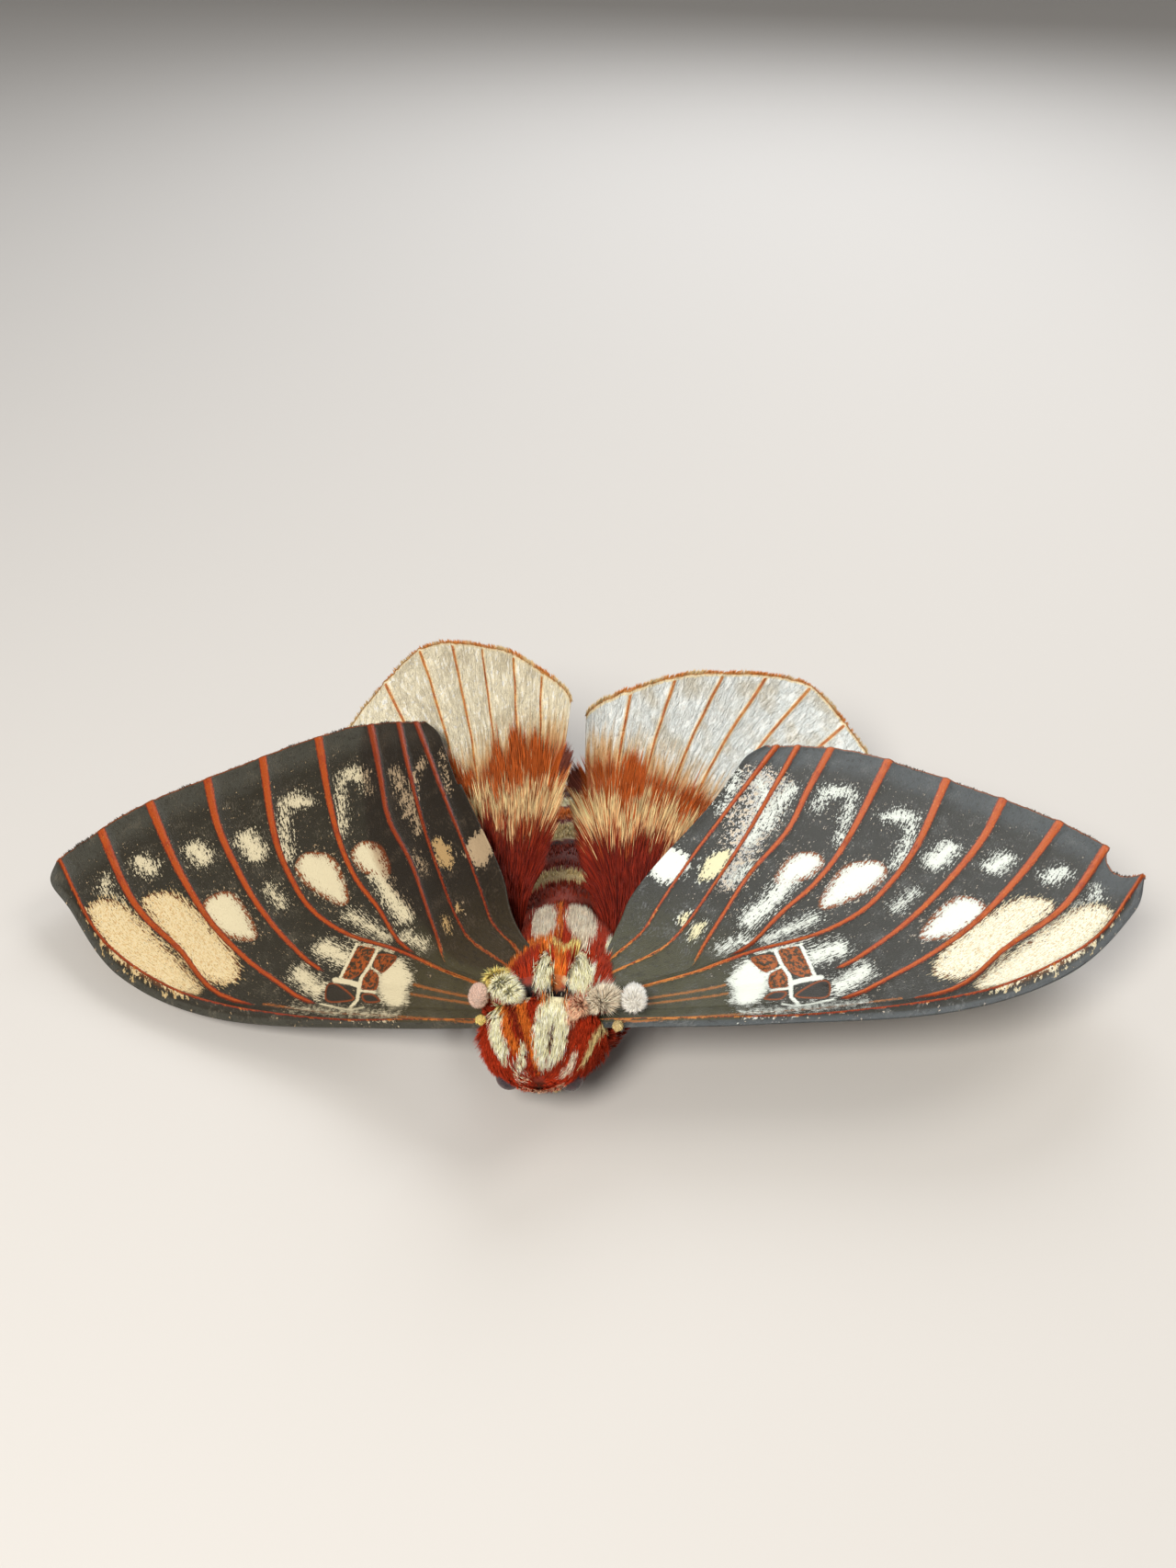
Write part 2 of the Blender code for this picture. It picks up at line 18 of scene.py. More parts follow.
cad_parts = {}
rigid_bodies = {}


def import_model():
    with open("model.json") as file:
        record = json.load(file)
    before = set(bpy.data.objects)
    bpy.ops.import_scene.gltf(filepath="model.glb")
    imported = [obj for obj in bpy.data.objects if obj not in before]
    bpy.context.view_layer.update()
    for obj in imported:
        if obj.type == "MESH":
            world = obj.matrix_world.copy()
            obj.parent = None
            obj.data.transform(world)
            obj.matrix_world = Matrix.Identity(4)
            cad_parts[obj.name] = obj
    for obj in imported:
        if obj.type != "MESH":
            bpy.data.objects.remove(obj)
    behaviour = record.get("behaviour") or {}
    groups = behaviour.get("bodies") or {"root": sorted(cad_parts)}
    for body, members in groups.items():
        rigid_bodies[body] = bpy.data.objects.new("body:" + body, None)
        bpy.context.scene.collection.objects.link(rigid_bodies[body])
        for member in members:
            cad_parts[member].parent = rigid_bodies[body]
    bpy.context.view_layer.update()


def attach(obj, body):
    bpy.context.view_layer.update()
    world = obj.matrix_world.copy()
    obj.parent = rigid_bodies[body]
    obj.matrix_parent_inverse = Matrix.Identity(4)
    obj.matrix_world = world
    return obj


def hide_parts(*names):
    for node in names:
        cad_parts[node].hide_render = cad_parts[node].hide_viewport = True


bl_info = {
    "name": "Royal Moth",
    "version": (1, 0, 0),
    "blender": (4, 5, 0),
    "location": "View3D > Sidebar > Moth",
    "description": "Builds a life-size royal moth at rest, with its wings, coat, eyes and feelers",
    "category": "Add Mesh",
}

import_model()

MM = 0.001
SIDES = {"left": 1.0, "right": -1.0}
# The forewing roots' place in the model's frame
BODY_X = -0.74
BODY_Y = -21.14

# Wings, flat: u runs from the root to the tip and v back towards the tail
FOREWING_OUTLINE = [
    (0.0, 0.0), (10.8, -2.9), (25.5, -6.5), (36.5, -5.9), (45.6, -1.4), (49.5, 2.4),
    (46.1, 12.4), (33.4, 24.4), (22.6, 27.5),
    (20.2, 26.4), (18.0, 24.4), (13.8, 20.5), (3.6, 12.3), (1.0, 6.5),
]
FOREWING_TIP, FOREWING_CORNER = 5, 8
# Each vein: its points from the root, where its end lies along the outer margin, how far
# from the root it starts to stand up, and its share of the usual width
FOREWING_VEINS = [
    ([(0.8, 0.5), (7.5, -1.2), (13.9, -3.0), (20.1, -4.3), (26.2, -5.2), (31.3, -5.3), (37.1, -4.3),
      (42.2, -2.3)], 0.015, 0, 0.4),
    ([(0.8, 0.9), (10.0, -0.9), (18.0, -3.3), (26.4, -4.4), (32.9, -1.7), (38.1, 0.1), (42.3, 2.4)],
     0.175, 22, 0.9),
    ([(0.8, 1.3), (9.0, -0.4), (17.1, -2.4), (22.1, -1.6), (26.6, -0.4), (31.8, 1.7), (37.5, 5.0),
      (42.0, 8.1)], 0.308, 16, 1.0),
    ([(0.8, 1.8), (9.0, 1.4), (17.4, 0.5), (22.8, 2.0), (28.1, 4.5), (32.9, 7.5), (38.1, 11.3)],
     0.429, 17, 1.0),
    ([(0.8, 2.4), (6.6, 3.6), (12.1, 4.3), (17.5, 4.4), (22.5, 5.6), (26.8, 8.1), (31.6, 12.0)],
     0.528, 0, 1.0),
    ([(0.8, 2.8), (6.6, 3.9), (10.9, 4.6), (13.0, 5.5), (16.0, 7.5), (20.6, 10.1), (25.9, 14.6)],
     0.638, 9, 1.0),
    ([(0.8, 3.2), (4.4, 3.8), (6.5, 4.3), (8.0, 5.8), (10.3, 8.0), (15.1, 12.5), (20.2, 16.3), (24.4, 21.0)],
     0.780, 5.6, 0.9),
    ([(0.9, 4.6), (3.8, 6.0), (7.4, 8.4), (11.3, 11.9), (16.0, 16.4), (21.2, 21.9)], 0.875, 0, 0.7),
    ([(0.9, 5.6), (5.2, 10.3), (10.1, 15.0), (15.1, 19.5)], 0.948, 0, 0.7),
]
HINDWING_OUTLINE = [
    (0.0, 0.0), (15.0, -4.5), (30.0, -4.0), (36.8, 2.2),
    (39.0, 9.6), (37.2, 16.8), (26.7, 21.6), (19.3, 23.1), (11.2, 23.1),
    (8.0, 18.1), (4.7, 12.2), (0.5, 3.0),
]
HINDWING_TIP, HINDWING_CORNER = 3, 8
HINDWING_VEIN_ENDS = [0.239, 0.38, 0.482, 0.57, 0.709, 0.855]
# The right forewing's tip is whole and rounder than the left one's
RIGHT_TIP = [(48.9, 0.3), (50.1, 2.5)]
# How far the margin swells out between two veins
SWELL = {"left": 0.08, "right": 0.35, "hind": 0.15}
# Half width of the veins at the root and at the margin
FOREWING_VEIN_HALF, HINDWING_VEIN_HALF = (0.14, 0.42), (0.10, 0.16)

FOREWING_ROOT = (6.1, 0.0, 8.8)
HINDWING_ROOT = (6.0, 7.9, 6.5)
# Angles in degrees; droop, camber and twist are heights
FOREWING_POSES = {
    "left": {"sweep": 17.8, "lift": 4.1, "incidence": 15.2,
             "droop": 1.5, "camber": -0.4, "twist": -6.3, "fold": 0.0},
    "right": {"sweep": 31.7, "lift": -14.0, "incidence": 32.4,
              "droop": -8.9, "camber": 0.0, "twist": -6.9, "fold": 15.3},
}
# The crease of the right forewing, and the zone around it that is painted in darker shade
FOLD_LINE = ((0.0, 5.0), (22.5, 30.0))
FOLD_ZONE = [(4.0, 4.4), (12.0, 7.8), (19.2, 11.9), (25.0, 18.6), (30.0, 26.5), (24.0, 31.0), (8.0, 22.0),
             (-1.0, 8.0)]
HINDWING_POSES = {
    "left": {"sweep": 41.7, "lift": 0.6, "incidence": 26.9,
             "droop": 1.0, "camber": -3.8, "twist": 0.6, "fold": 0.0},
    "right": {"sweep": 54.2, "lift": 1.0, "incidence": 48.0,
              "droop": 1.2, "camber": -1.9, "twist": -3.0, "fold": 0.0},
}
FOREWING_REACH, HINDWING_REACH = 49.0, 31.0
CAMBER_MIDDLE, CAMBER_REACH, TWIST_REACH = 10.0, 15.0, 20.0
ROOT_BLEND = 0.16
# How deep a wing's root sits in the body, and how much of a vein's height shows underneath
SEAT_DEPTH, UNDER_SHARE = 0.9, 0.35
# The bake's map: how many wing lengths it spans, its corner, and where the undersides lie on it
BAKE_SPAN, BAKE_CORNER, BAKE_UNDERSIDE = 2.2, [0.02, 0.2], 0.42
# Hairs of a margin and of a hindwing's base, and about a lobe, a palp and a leg
FRINGE_COUNT, BASE_COUNT = 1500, 10900
LOBE_COUNT, PALP_COUNT, LEG_COUNT = 2200, 300, 900

# Markings of the forewing, as closed outlines and as strokes with a half width
CLEAR_SPOTS = [
    [(26.7, 1.6), (29.6, 1.1), (32.6, 2.2), (33.6, 3.6), (32.3, 4.9), (29.6, 3.9)],
    [(19.8, 7.2), (24.0, 7.8), (26.8, 9.2), (27.0, 10.8), (24.6, 11.2), (22.3, 10.0)],
    [(17.0, 10.9), (19.6, 10.7), (21.9, 12.0), (21.6, 13.4), (19.3, 13.2)],
]
APICAL_PATCHES = [
    [(26.0, -2.5), (28.0, -0.4), (33.9, 2.2), (37.6, 3.1), (39.4, 1.6), (35.2, -0.7), (29.1, -3.4)],
    [(29.0, -4.3), (29.4, -5.2), (31.9, -5.4), (38.1, -4.2), (43.4, -1.1), (42.8, 0.5), (40.0, 0.1),
     (34.8, -1.9)],
]
CREAM_PATCHES = [
    [(9.2, 2.4), (11.3, 3.7), (12.6, 2.0), (11.6, -0.1), (9.8, -0.8), (8.5, -0.1), (8.9, 1.2)],
    [(6.3, 14.8), (7.2, 13.2), (9.6, 14.0), (10.3, 15.8), (8.9, 17.0), (7.0, 16.4)],
    [(10.3, 12.6), (12.9, 13.3), (14.2, 15.5), (11.7, 14.9)],
    [(7.2, 6.8), (8.3, 7.2), (9.3, 8.3), (8.1, 8.2)],
    [(7.0, 8.6), (7.9, 8.9), (8.2, 9.7), (7.3, 9.4)],
]
# The dark windows that a pale lattice parts at the cell's end
WINDOWS = [
    [(11.6, 3.7), (13.6, 3.5), (13.6, 2.4), (12.3, 1.9)],
    [(12.5, 1.6), (13.8, 1.9), (13.7, 0.1), (12.1, 0.3)],
    [(11.1, -0.5), (12.2, 0.0), (13.3, -0.4), (12.5, -1.0)],
    [(14.2, 3.8), (16.0, 3.6), (15.9, 0.4), (14.4, 1.2)],
    [(13.7, -0.9), (16.2, -0.1), (17.1, -0.6), (16.4, -1.9), (15.0, -1.7)],
]
# Thin pale lines between the windows, with their half widths
LATTICE = [
    ([(13.95, 3.9), (13.95, 2.2), (14.1, 1.0), (13.75, -0.1), (13.4, -1.0), (13.7, -1.9)], 0.19),
    ([(12.2, 1.75), (13.9, 2.15)], 0.11), ([(12.0, 0.15), (13.8, -0.15)], 0.13),
    ([(13.9, 0.3), (15.0, 0.3), (16.6, 0.1)], 0.25), ([(12.2, 4.0), (14.0, 4.0), (16.4, 3.9)], 0.13),
    ([(12.4, -1.4), (13.6, -2.0), (15.4, -2.2), (16.8, -2.3)], 0.11),
    ([(16.3, 3.8), (16.25, 1.8), (16.1, 0.3)], 0.18),
]
# Soft orange streaks in the cell and beside the front edge
STREAKS = [([(2.5, 1.7), (8.8, 1.75)], 0.12), ([(3.5, 1.2), (8.6, 0.9)], 0.1),
           ([(2.0, -0.1), (9.5, -1.4), (16.0, -2.9), (22.0, -3.9)], 0.1)]
# Ragged patches of loose white scales: points and half width
FLUFF_STROKES = [
    ([(16.9, 2.3), (19.4, 2.6)], 0.85), ([(17.6, -1.2), (20.4, -0.3)], 0.8),
    ([(13.6, 5.1), (18.8, 6.3)], 0.45),
    ([(9.0, -1.15), (13.6, -2.2), (19.0, -3.3)], 0.22), ([(14.0, 4.3), (17.2, 4.2)], 0.22),
    ([(34.5, -1.9), (42.0, 0.9), (43.9, 1.3)], 0.2),
    ([(12.9, 7.5), (16.2, 9.4), (19.0, 11.6)], 0.8), ([(13.4, 12.2), (15.2, 13.2)], 0.4),
    ([(16.2, 15.8), (18.6, 18.4), (20.3, 21.5), (20.2, 23.2)], 0.55), ([(15.2, 20.2), (18.6, 24.4)], 0.3),
    ([(18.4, 17.4), (20.8, 19.8), (23.0, 21.6)], 0.6),
    ([(24.3, 18.8), (27.1, 21.0), (28.7, 19.9), (27.1, 17.5), (24.6, 14.1)], 0.35),
    ([(26.0, 20.4), (28.2, 20.4)], 0.65),
    ([(30.3, 16.1), (32.3, 16.7), (33.1, 15.8), (31.4, 13.2), (28.3, 9.9)], 0.4),
    ([(31.2, 16.1), (32.4, 15.9)], 0.75),
    ([(32.0, 9.6), (34.4, 10.9)], 0.95), ([(37.0, 7.6), (38.8, 8.3)], 0.85),
    ([(41.2, 4.9), (42.9, 5.3)], 0.7),
    ([(26.1, 5.4), (28.6, 6.7)], 0.35), ([(9.6, 5.3), (12.0, 5.7)], 0.45), ([(43.6, 1.4), (44.6, 2.6)], 0.3),
]
# The middle of the dusty zone near the inner margin, whose many white specks on the left wing are partly a
# painted sheen
DUST_AND_SHEEN_LINE = [(12.5, 12.5), (17.0, 18.0), (21.0, 23.0)]
# The right wing lies in warm shade, most of all in the zone of its fold
WARM_SHADE, FOLD_SHADE = (0.78, 0.64, 0.46), (0.50, 0.34, 0.22)
# The torn notch beside the left tip: where it lies along the margin, and its depth
NOTCH = {"left": (0.02, 0.165, 2.3), "right": (0.0, 0.0, 0.0)}

# Zones of the hindwing by distance from its root
HIND_RED_END, HIND_CREAM_END, HIND_BAND_END = 14.2, 17.6, 22.2

# Body sections: place along Y, sideways shift, half width, top height, bottom height
FRONT_SECTIONS = [
    (-4.5, -1.45, 0.9, 8.5, 6.9),
    (-4.2, -1.5, 2.2, 9.5, 6.1),
    (-3.4, -1.6, 3.5, 10.4, 5.0),
    (-2.2, -1.6, 4.4, 11.2, 3.7),
    (-0.5, -1.45, 5.1, 12.0, 2.3),
    (1.5, -1.1, 5.6, 12.6, 1.7),
    (4.5, -0.5, 5.6, 12.9, 1.6),
    (8.5, 0.0, 5.3, 12.3, 1.6),
    (11.5, 0.0, 4.9, 11.2, 1.6),
    (13.7, 0.0, 4.5, 10.2, 1.6),
]
ABDOMEN_SECTIONS = [
    (17.5, 0.0, 4.6, 9.8, 0.6),
    (22.0, -0.1, 4.4, 9.0, 0.0),
    (27.0, -0.25, 3.9, 7.9, -0.3),
    (31.5, -0.45, 3.2, 7.0, -0.3),
    (35.5, -0.6, 2.4, 6.0, 0.2),
    (39.0, -0.7, 0.9, 4.4, 1.4),
]
WHOLE_SECTIONS = FRONT_SECTIONS + ABDOMEN_SECTIONS
WHOLE_TABLE = np.array(WHOLE_SECTIONS)
BODY_START, BODY_END = WHOLE_TABLE[0, 0], WHOLE_TABLE[-1, 0]
THORAX_END = 13.9
SKIN_SIDES, SKIN_RINGS = 64, 150
# The grooves behind the collar and the thorax, and between the abdomen's rings
COLLAR_GROOVE, WAIST_GROOVE = (1.5, 0.6, 0.95), (14.0, 0.5, 0.45)
# The collar's groove is open only this many degrees to both sides of its middle
GROOVE_MIDDLE, GROOVE_SPREAD = -3.0, 26.0
# Where the head's hair, which falls forward, meets the thorax's
PARTING = 0.95
RING_LENGTH, RING_GROOVE = 3.57, 0.28

EYE_PLACE = (2.5, -2.0, 5.2)
EYE_RADIUS = 1.15
PALP_PLACE = (0.85, 0.6, 1.4)
PALP_SIZE = (0.5, 0.85, 0.4)
TEGULA_OUT = {"left": 6.9, "right": 7.5}
TEGULA_PLACE = (1.2, 11.2)
LOBE_SIZE = (0.74, 1.0, 0.95)
LOBE_COLOURS = {"left": "white", "right": "rose"}
# Tufts: each is a place from the middle line, its size, its colour, hair length and lie, by side
TUFTS = {
    "left": [((4.9, 1.4, 10.8), (0.75, 0.7, 0.6), "grey", 1.3, (0.5, 0.8, 0)),
             ((4.2, 0.6, 11.0), (0.6, 0.6, 0.45), "grey", 0.9, (-0.6, -0.5, 0)),
             ((2.9, -0.2, 11.4), (0.5, 0.6, 0.35), "salmon", 1.0, (-0.6, -1, 0)),
             ((6.2, -0.3, 9.5), (0.36, 0.42, 0.42), "tan", 0.35, (0, 0, 0))],
    "right": [((4.4, 2.9, 11.3), (0.6, 0.6, 0.5), "yellow", 1.3, (-0.5, -1, 0)),
              ((3.6, 1.8, 11.6), (0.65, 0.6, 0.5), "cream", 1.4, (-0.6, -1, 0)),
              ((2.6, 0.7, 12.0), (0.5, 0.5, 0.35), "cream", 1.1, (-1, -0.8, 0)),
              ((5.05, 0.0, 9.6), (0.36, 0.38, 0.38), "yellow", 0.35, (0, 0, 0))],
}
ANTENNA_PATH = [(1.8, 0.2, 2.3), (1.95, 1.4, 1.1), (2.1, 3.9, 0.7), (2.6, 7.4, 0.7), (3.4, 10.8, 0.9)]
ANTENNA_RADII = [0.34, 0.36, 0.32, 0.27, 0.22]
LEG_PATHS = {
    "front": [(4.3, 4.0, 2.8), (6.2, 6.2, 3.8), (7.4, 8.2, 1.6), (8.3, 9.7, 0.22), (9.1, 10.9, 0.22)],
    "middle": [(4.3, 7.2, 2.8), (7.3, 9.4, 4.2), (9.6, 12.0, 1.6), (10.7, 13.8, 0.22), (11.6, 15.2, 0.22)],
    "hind": [(4.1, 10.6, 2.8), (6.9, 14.0, 4.0), (8.2, 18.0, 1.6), (9.0, 20.6, 0.22), (9.6, 22.4, 0.22)],
}
LEG_RADII = [0.85, 0.6, 0.42, 0.3, 0.26]

# Coat colours, linear
COAT_COLOURS = {
    "red": (0.34, 0.028, 0.006),
    "deep": (0.20, 0.020, 0.006),
    "orange": (0.60, 0.15, 0.02),
    "cream": (0.93, 0.86, 0.54),
    "grey": (0.66, 0.56, 0.43),
    "tan": (0.62, 0.48, 0.23),
    "salmon": (0.74, 0.42, 0.28),
    "yellow": (0.80, 0.60, 0.20),
    "black": (0.018, 0.011, 0.011),
    "brown": (0.10, 0.03, 0.015),
    "white": (0.80, 0.77, 0.70),
    "rose": (0.62, 0.44, 0.36),
}
# Markings of the front body as strokes: colour, then (angle from the top, place along,
# half width) at each point; angles grow towards the animal's left
BODY_MARKS = [
    ("red", [(-70, 4.0, 2.0), (-30, 4.2, 2.4), (30, 4.6, 2.4), (70, 4.4, 2.0)]),
    ("orange", [(-14, 6.4, 0.7), (-38, 5.4, 0.7), (-48, 3.4, 0.6)]),
    ("deep", [(-60, 10.0, 1.5), (-20, 13.8, 1.2), (20, 14.0, 1.2), (60, 10.0, 1.5)]),
    ("red", [(-40, 2.0, 0.5), (-12, 1.9, 0.4)]),
    ("red", [(34, 2.4, 0.5), (60, 3.4, 0.7)]),
    ("orange", [(-20, 0.6, 0.45), (-20, -0.1, 0.45), (-12, -2.0, 0.42), (-6, -3.6, 0.35), (0, -4.3, 0.3)]),
    # Painted shade: a deep red line in the gap between the two orange strokes beside it
    ("deep", [(-31, 0.3, 0.4), (-25, -1.1, 0.36), (-21, -2.6, 0.32), (-18, -3.7, 0.25)]),
    ("orange", [(-39, 0.2, 0.4), (-37, -1.6, 0.42), (-31, -3.0, 0.35)]),
    ("cream", [(-46, 0.5, 0.55), (-54, -1.1, 0.8), (-55, -2.7, 0.75), (-61, -3.3, 0.45)]),
    ("yellow", [(-45, 0.9, 0.35), (-44, 0.3, 0.3)]),
    ("cream", [(-21, -3.0, 0.26), (-32, -3.8, 0.3), (-62, -4.15, 0.26), (-120, -4.3, 0.2)]),
    ("salmon", [(-150, -3.9, 0.3), (170, -3.6, 0.3), (130, -3.9, 0.25)]),
    ("red", [(31, 0.6, 0.35), (38, -1.5, 0.45)]),
    ("deep", [(33, -0.4, 0.25), (37, -1.6, 0.4), (43, -3.2, 0.4), (60, -4.1, 0.25)]),
    ("red", [(44, -0.5, 0.35), (49, -2.4, 0.35), (58, -3.4, 0.3)]),
    ("grey", [(58, -2.9, 0.3), (68, -3.6, 0.34), (88, -4.05, 0.24)]),
    ("red", [(54, -0.8, 0.4), (62, -2.4, 0.35), (80, -3.3, 0.3)]),
    ("tan", [(70, 2.0, 0.45), (69, 0.0, 0.5), (75, -1.8, 0.42), (83, -2.7, 0.3)]),
    ("cream", [(7, 1.0, 0.7), (6, -0.6, 0.85), (5, -2.2, 0.9), (6, -3.4, 0.7), (11, -4.1, 0.4)]),
    ("cream", [(16, 1.0, 0.7), (22, -0.6, 0.8), (25, -2.2, 0.8), (29, -3.3, 0.6), (28, -3.9, 0.3)]),
    ("orange", [(0, 0.9, 0.3), (-1, 0.2, 0.25)]),
    ("orange", [(21, 0.9, 0.22), (24, 0.2, 0.22)]),
    ("salmon", [(30, -0.9, 0.3), (36, 0.0, 0.36), (40, 0.7, 0.3)]),
    ("brown", [(14, -1.2, 0.09), (16, -2.4, 0.12), (17, -3.4, 0.1)]),
    ("grey", [(20, -4.0, 0.25), (24, -4.15, 0.2)]),
    ("cream", [(-56, 3.3, 0.5), (-39, 2.3, 0.6), (-27, 0.7, 0.5), (-17, 0.6, 0.3)]),
    ("grey", [(38, 1.2, 0.5), (51, 2.2, 0.8), (66, 3.2, 0.8), (72, 2.6, 0.6)]),
    # Painted shade: a black line in the groove behind the collar
    ("black", [(-29, 2.3, 0.3), (-22, 1.5, 0.5), (-4, 1.45, 0.55), (12, 1.6, 0.6), (20, 1.4, 0.4)]),
    ("cream", [(-4, 1.9, 0.8), (-6, 2.9, 0.9), (-8, 4.0, 0.6), (-10, 5.4, 0.12)]),
    ("cream", [(26, 2.2, 0.9), (27, 3.4, 1.1), (26, 4.5, 0.75), (24, 6.0, 0.12)]),
    ("orange", [(9, 2.2, 0.45), (6, 3.4, 0.5), (3, 4.6, 0.5)]),
    ("yellow", [(-8, 6.3, 0.18), (7, 4.6, 0.2), (17, 6.2, 0.18)]),
    ("cream", [(-46, 6.0, 0.6), (-56, 8.4, 0.7)]),
    ("cream", [(52, 6.9, 0.6), (56, 8.8, 0.6)]),
    ("grey", [(-18, 7.9, 1.1), (-21, 10.0, 1.2), (-25, 12.6, 0.9)]),
    ("grey", [(18, 7.9, 1.3), (18, 10.0, 1.5), (19, 12.4, 1.1)]),
    ("orange", [(-2, 6.9, 0.2), (-4, 10.0, 0.24), (-6, 13.5, 0.24)]),
]
# The abdomen's rings: place along, half width and colour; between them it is deep red
ABDOMEN_BANDS = [
    (18.7, 0.9, "tan"), (21.6, 1.2, "deep"), (25.0, 0.28, "black"), (27.4, 1.7, "tan"), (31.2, 1.3, "orange"),
    (33.6, 0.7, "cream"), (36.4, 1.6, "brown"),
]

# The camera, in the same millimetres: a phone held in front of and above the animal
CAMERA_PLACE = (4.29, -80.20, 94.37)
CAMERA_TURN, CAMERA_DOWN = 1.4, 37.0
FOCAL_PIXELS = 1535.0
IMAGE_HEIGHT = 1706.0


class WingSizes(bpy.types.PropertyGroup):
    """Sizes and colours of the four wings."""

    thickness: FloatProperty(name="Thickness", description="Thickness of the membrane with its scales",
                             default=0.00015, unit="LENGTH", precision=5)
    vein_height: FloatProperty(name="Vein height", description="How far the veins stand up",
                               default=0.00016, unit="LENGTH", precision=5)
    pleat: FloatProperty(name="Pleat", description="How far the membrane sinks between two veins",
                         default=0.00022, unit="LENGTH", precision=5)
    steps: IntProperty(name="Steps between veins", description="Rows of the mesh between two veins",
                       default=16)
    stations: IntProperty(name="Steps along veins", description="Rows of the mesh from root to margin",
                          default=190)
    field: FloatVectorProperty(name="Field", description="The forewing's dark ground", subtype="COLOR",
                               default=(0.030, 0.031, 0.026))
    margin: FloatVectorProperty(name="Margin", description="The smooth band along the outer margin",
                                subtype="COLOR", default=(0.060, 0.070, 0.074))
    olive: FloatVectorProperty(name="Root", description="The forewing's ground near the root",
                               subtype="COLOR", default=(0.060, 0.060, 0.034))
    vein: FloatVectorProperty(name="Veins", description="Orange-red scales on the veins", subtype="COLOR",
                              default=(0.46, 0.088, 0.010))
    white: FloatVectorProperty(name="Spots", description="White scales", subtype="COLOR",
                               default=(0.80, 0.86, 0.80))
    cream: FloatVectorProperty(name="Patches", description="Cream scales of the patches near the tip",
                               subtype="COLOR", default=(0.86, 0.82, 0.62))
    silver: FloatVectorProperty(name="Hindwing", description="Silvery outer half of the hindwing",
                                subtype="COLOR", default=(0.80, 0.86, 0.86))


class CoatSizes(bpy.types.PropertyGroup):
    """Sizes of the body's coat."""

    depth: FloatProperty(name="Coat depth", description="How far the hair stands out from the skin",
                         default=0.00052, unit="LENGTH", precision=5)
    length: FloatProperty(name="Hair length", description="Length of a hair on the thorax",
                          default=0.0021, unit="LENGTH", precision=5)
    width: FloatProperty(name="Hair width", description="Width of a hair at its root",
                         default=0.00008, unit="LENGTH", precision=5)
    count: IntProperty(name="Hairs a patch", description="Hairs in one patch of the coat", default=15000)


class StageSizes(bpy.types.PropertyGroup):
    """The floor and the lights."""

    floor: FloatVectorProperty(name="Floor", description="Colour of the floor", subtype="COLOR",
                               default=(0.56, 0.545, 0.53))
    key: FloatProperty(name="Main light", description="Power of the main light in watts", default=1.2)
    side: FloatProperty(name="Side light", description="Power of the light from the right in watts",
                        default=0.26)
    back: FloatProperty(name="Back light", description="Power of the light behind in watts", default=1.0)


class Value:
    """A shader socket that takes part in arithmetic: each operation adds a Math node."""

    def __init__(self, paint, socket):
        self.paint, self.socket = paint, socket

    def _with(self, operation, other, first=True):
        pair = (self, other) if first else (other, self)
        return self.paint.add("ShaderNodeMath", {"operation": operation}, {0: pair[0], 1: pair[1]})

    def __add__(self, other):
        return self._with("ADD", other)

    def __sub__(self, other):
        return self._with("SUBTRACT", other)

    def __rsub__(self, other):
        return self._with("SUBTRACT", other, first=False)

    def __mul__(self, other):
        return self._with("MULTIPLY", other)

    def __truediv__(self, other):
        return self._with("DIVIDE", other)

    __radd__ = __add__
    __rmul__ = __mul__

    def __neg__(self):
        return self * -1.0

    def over(self, low, high):
        """Rises smoothly from 0 at low to 1 at high."""
        settings = {"interpolation_type": "SMOOTHSTEP"}
        sockets = {"Value": self, "From Min": low, "From Max": high, "To Min": 0.0, "To Max": 1.0}
        return self.paint.add("ShaderNodeMapRange", settings, sockets)

    def larger(self, other):
        return self._with("MAXIMUM", other)


class Paint:
    """A Principled material, with one method that makes any other node."""

    def __init__(self, name, **constants):
        self.material = bpy.data.materials.new(name)
        self.material.use_nodes = True
        self.tree = self.material.node_tree
        self.shader = self.tree.nodes["Principled BSDF"]
        for socket, value in constants.items():
            self.shader.inputs[socket.replace("_", " ")].default_value = value

    def put(self, target, value):
        """Links a value to a socket, or sets it."""
        if isinstance(value, Value):
            self.tree.links.new(value.socket, target)
        elif isinstance(value, (tuple, list)) and len(value) == 3 and target.type == "RGBA":
            target.default_value = (*value, 1.0)
        else:
            target.default_value = value

    def add(self, kind, settings=None, sockets=None, out=0):
        """Makes a node: its settings first, then its sockets; returns one output."""
        node = self.tree.nodes.new(kind)
        for name, value in (settings or {}).items():
            setattr(node, name, value)
        for name, value in (sockets or {}).items():
            self.put(node.inputs[name], value)
        return Value(self, node.outputs[out])

    def read(self, name, out="Fac"):
        return self.add("ShaderNodeAttribute", {"attribute_name": name}, out=out)

    def mix(self, first, second, share):
        settings = {"data_type": "RGBA", "clamp_factor": True}
        return self.add("ShaderNodeMix", settings, {0: share, 6: first, 7: second}, out=2)

    def noise(self, place, stretch, scale=1.0, detail=2.0, roughness=0.5):
        """Noise with features of about one unit of the place divided by stretch and scale."""
        stretched = self.add("ShaderNodeMapping", None, {"Vector": place, "Scale": stretch})
        sockets = {"Vector": stretched, "Scale": scale, "Detail": detail, "Roughness": roughness}
        return self.add("ShaderNodeTexNoise", {"noise_dimensions": "3D"}, sockets)

    def bump(self, height, distance):
        sockets = {"Height": height, "Distance": distance, "Strength": 1.0}
        return self.add("ShaderNodeBump", None, sockets)

    def finish(self, **links):
        for socket, value in links.items():
            self.put(self.shader.inputs[socket.replace("_", " ")], value)
        return self.material


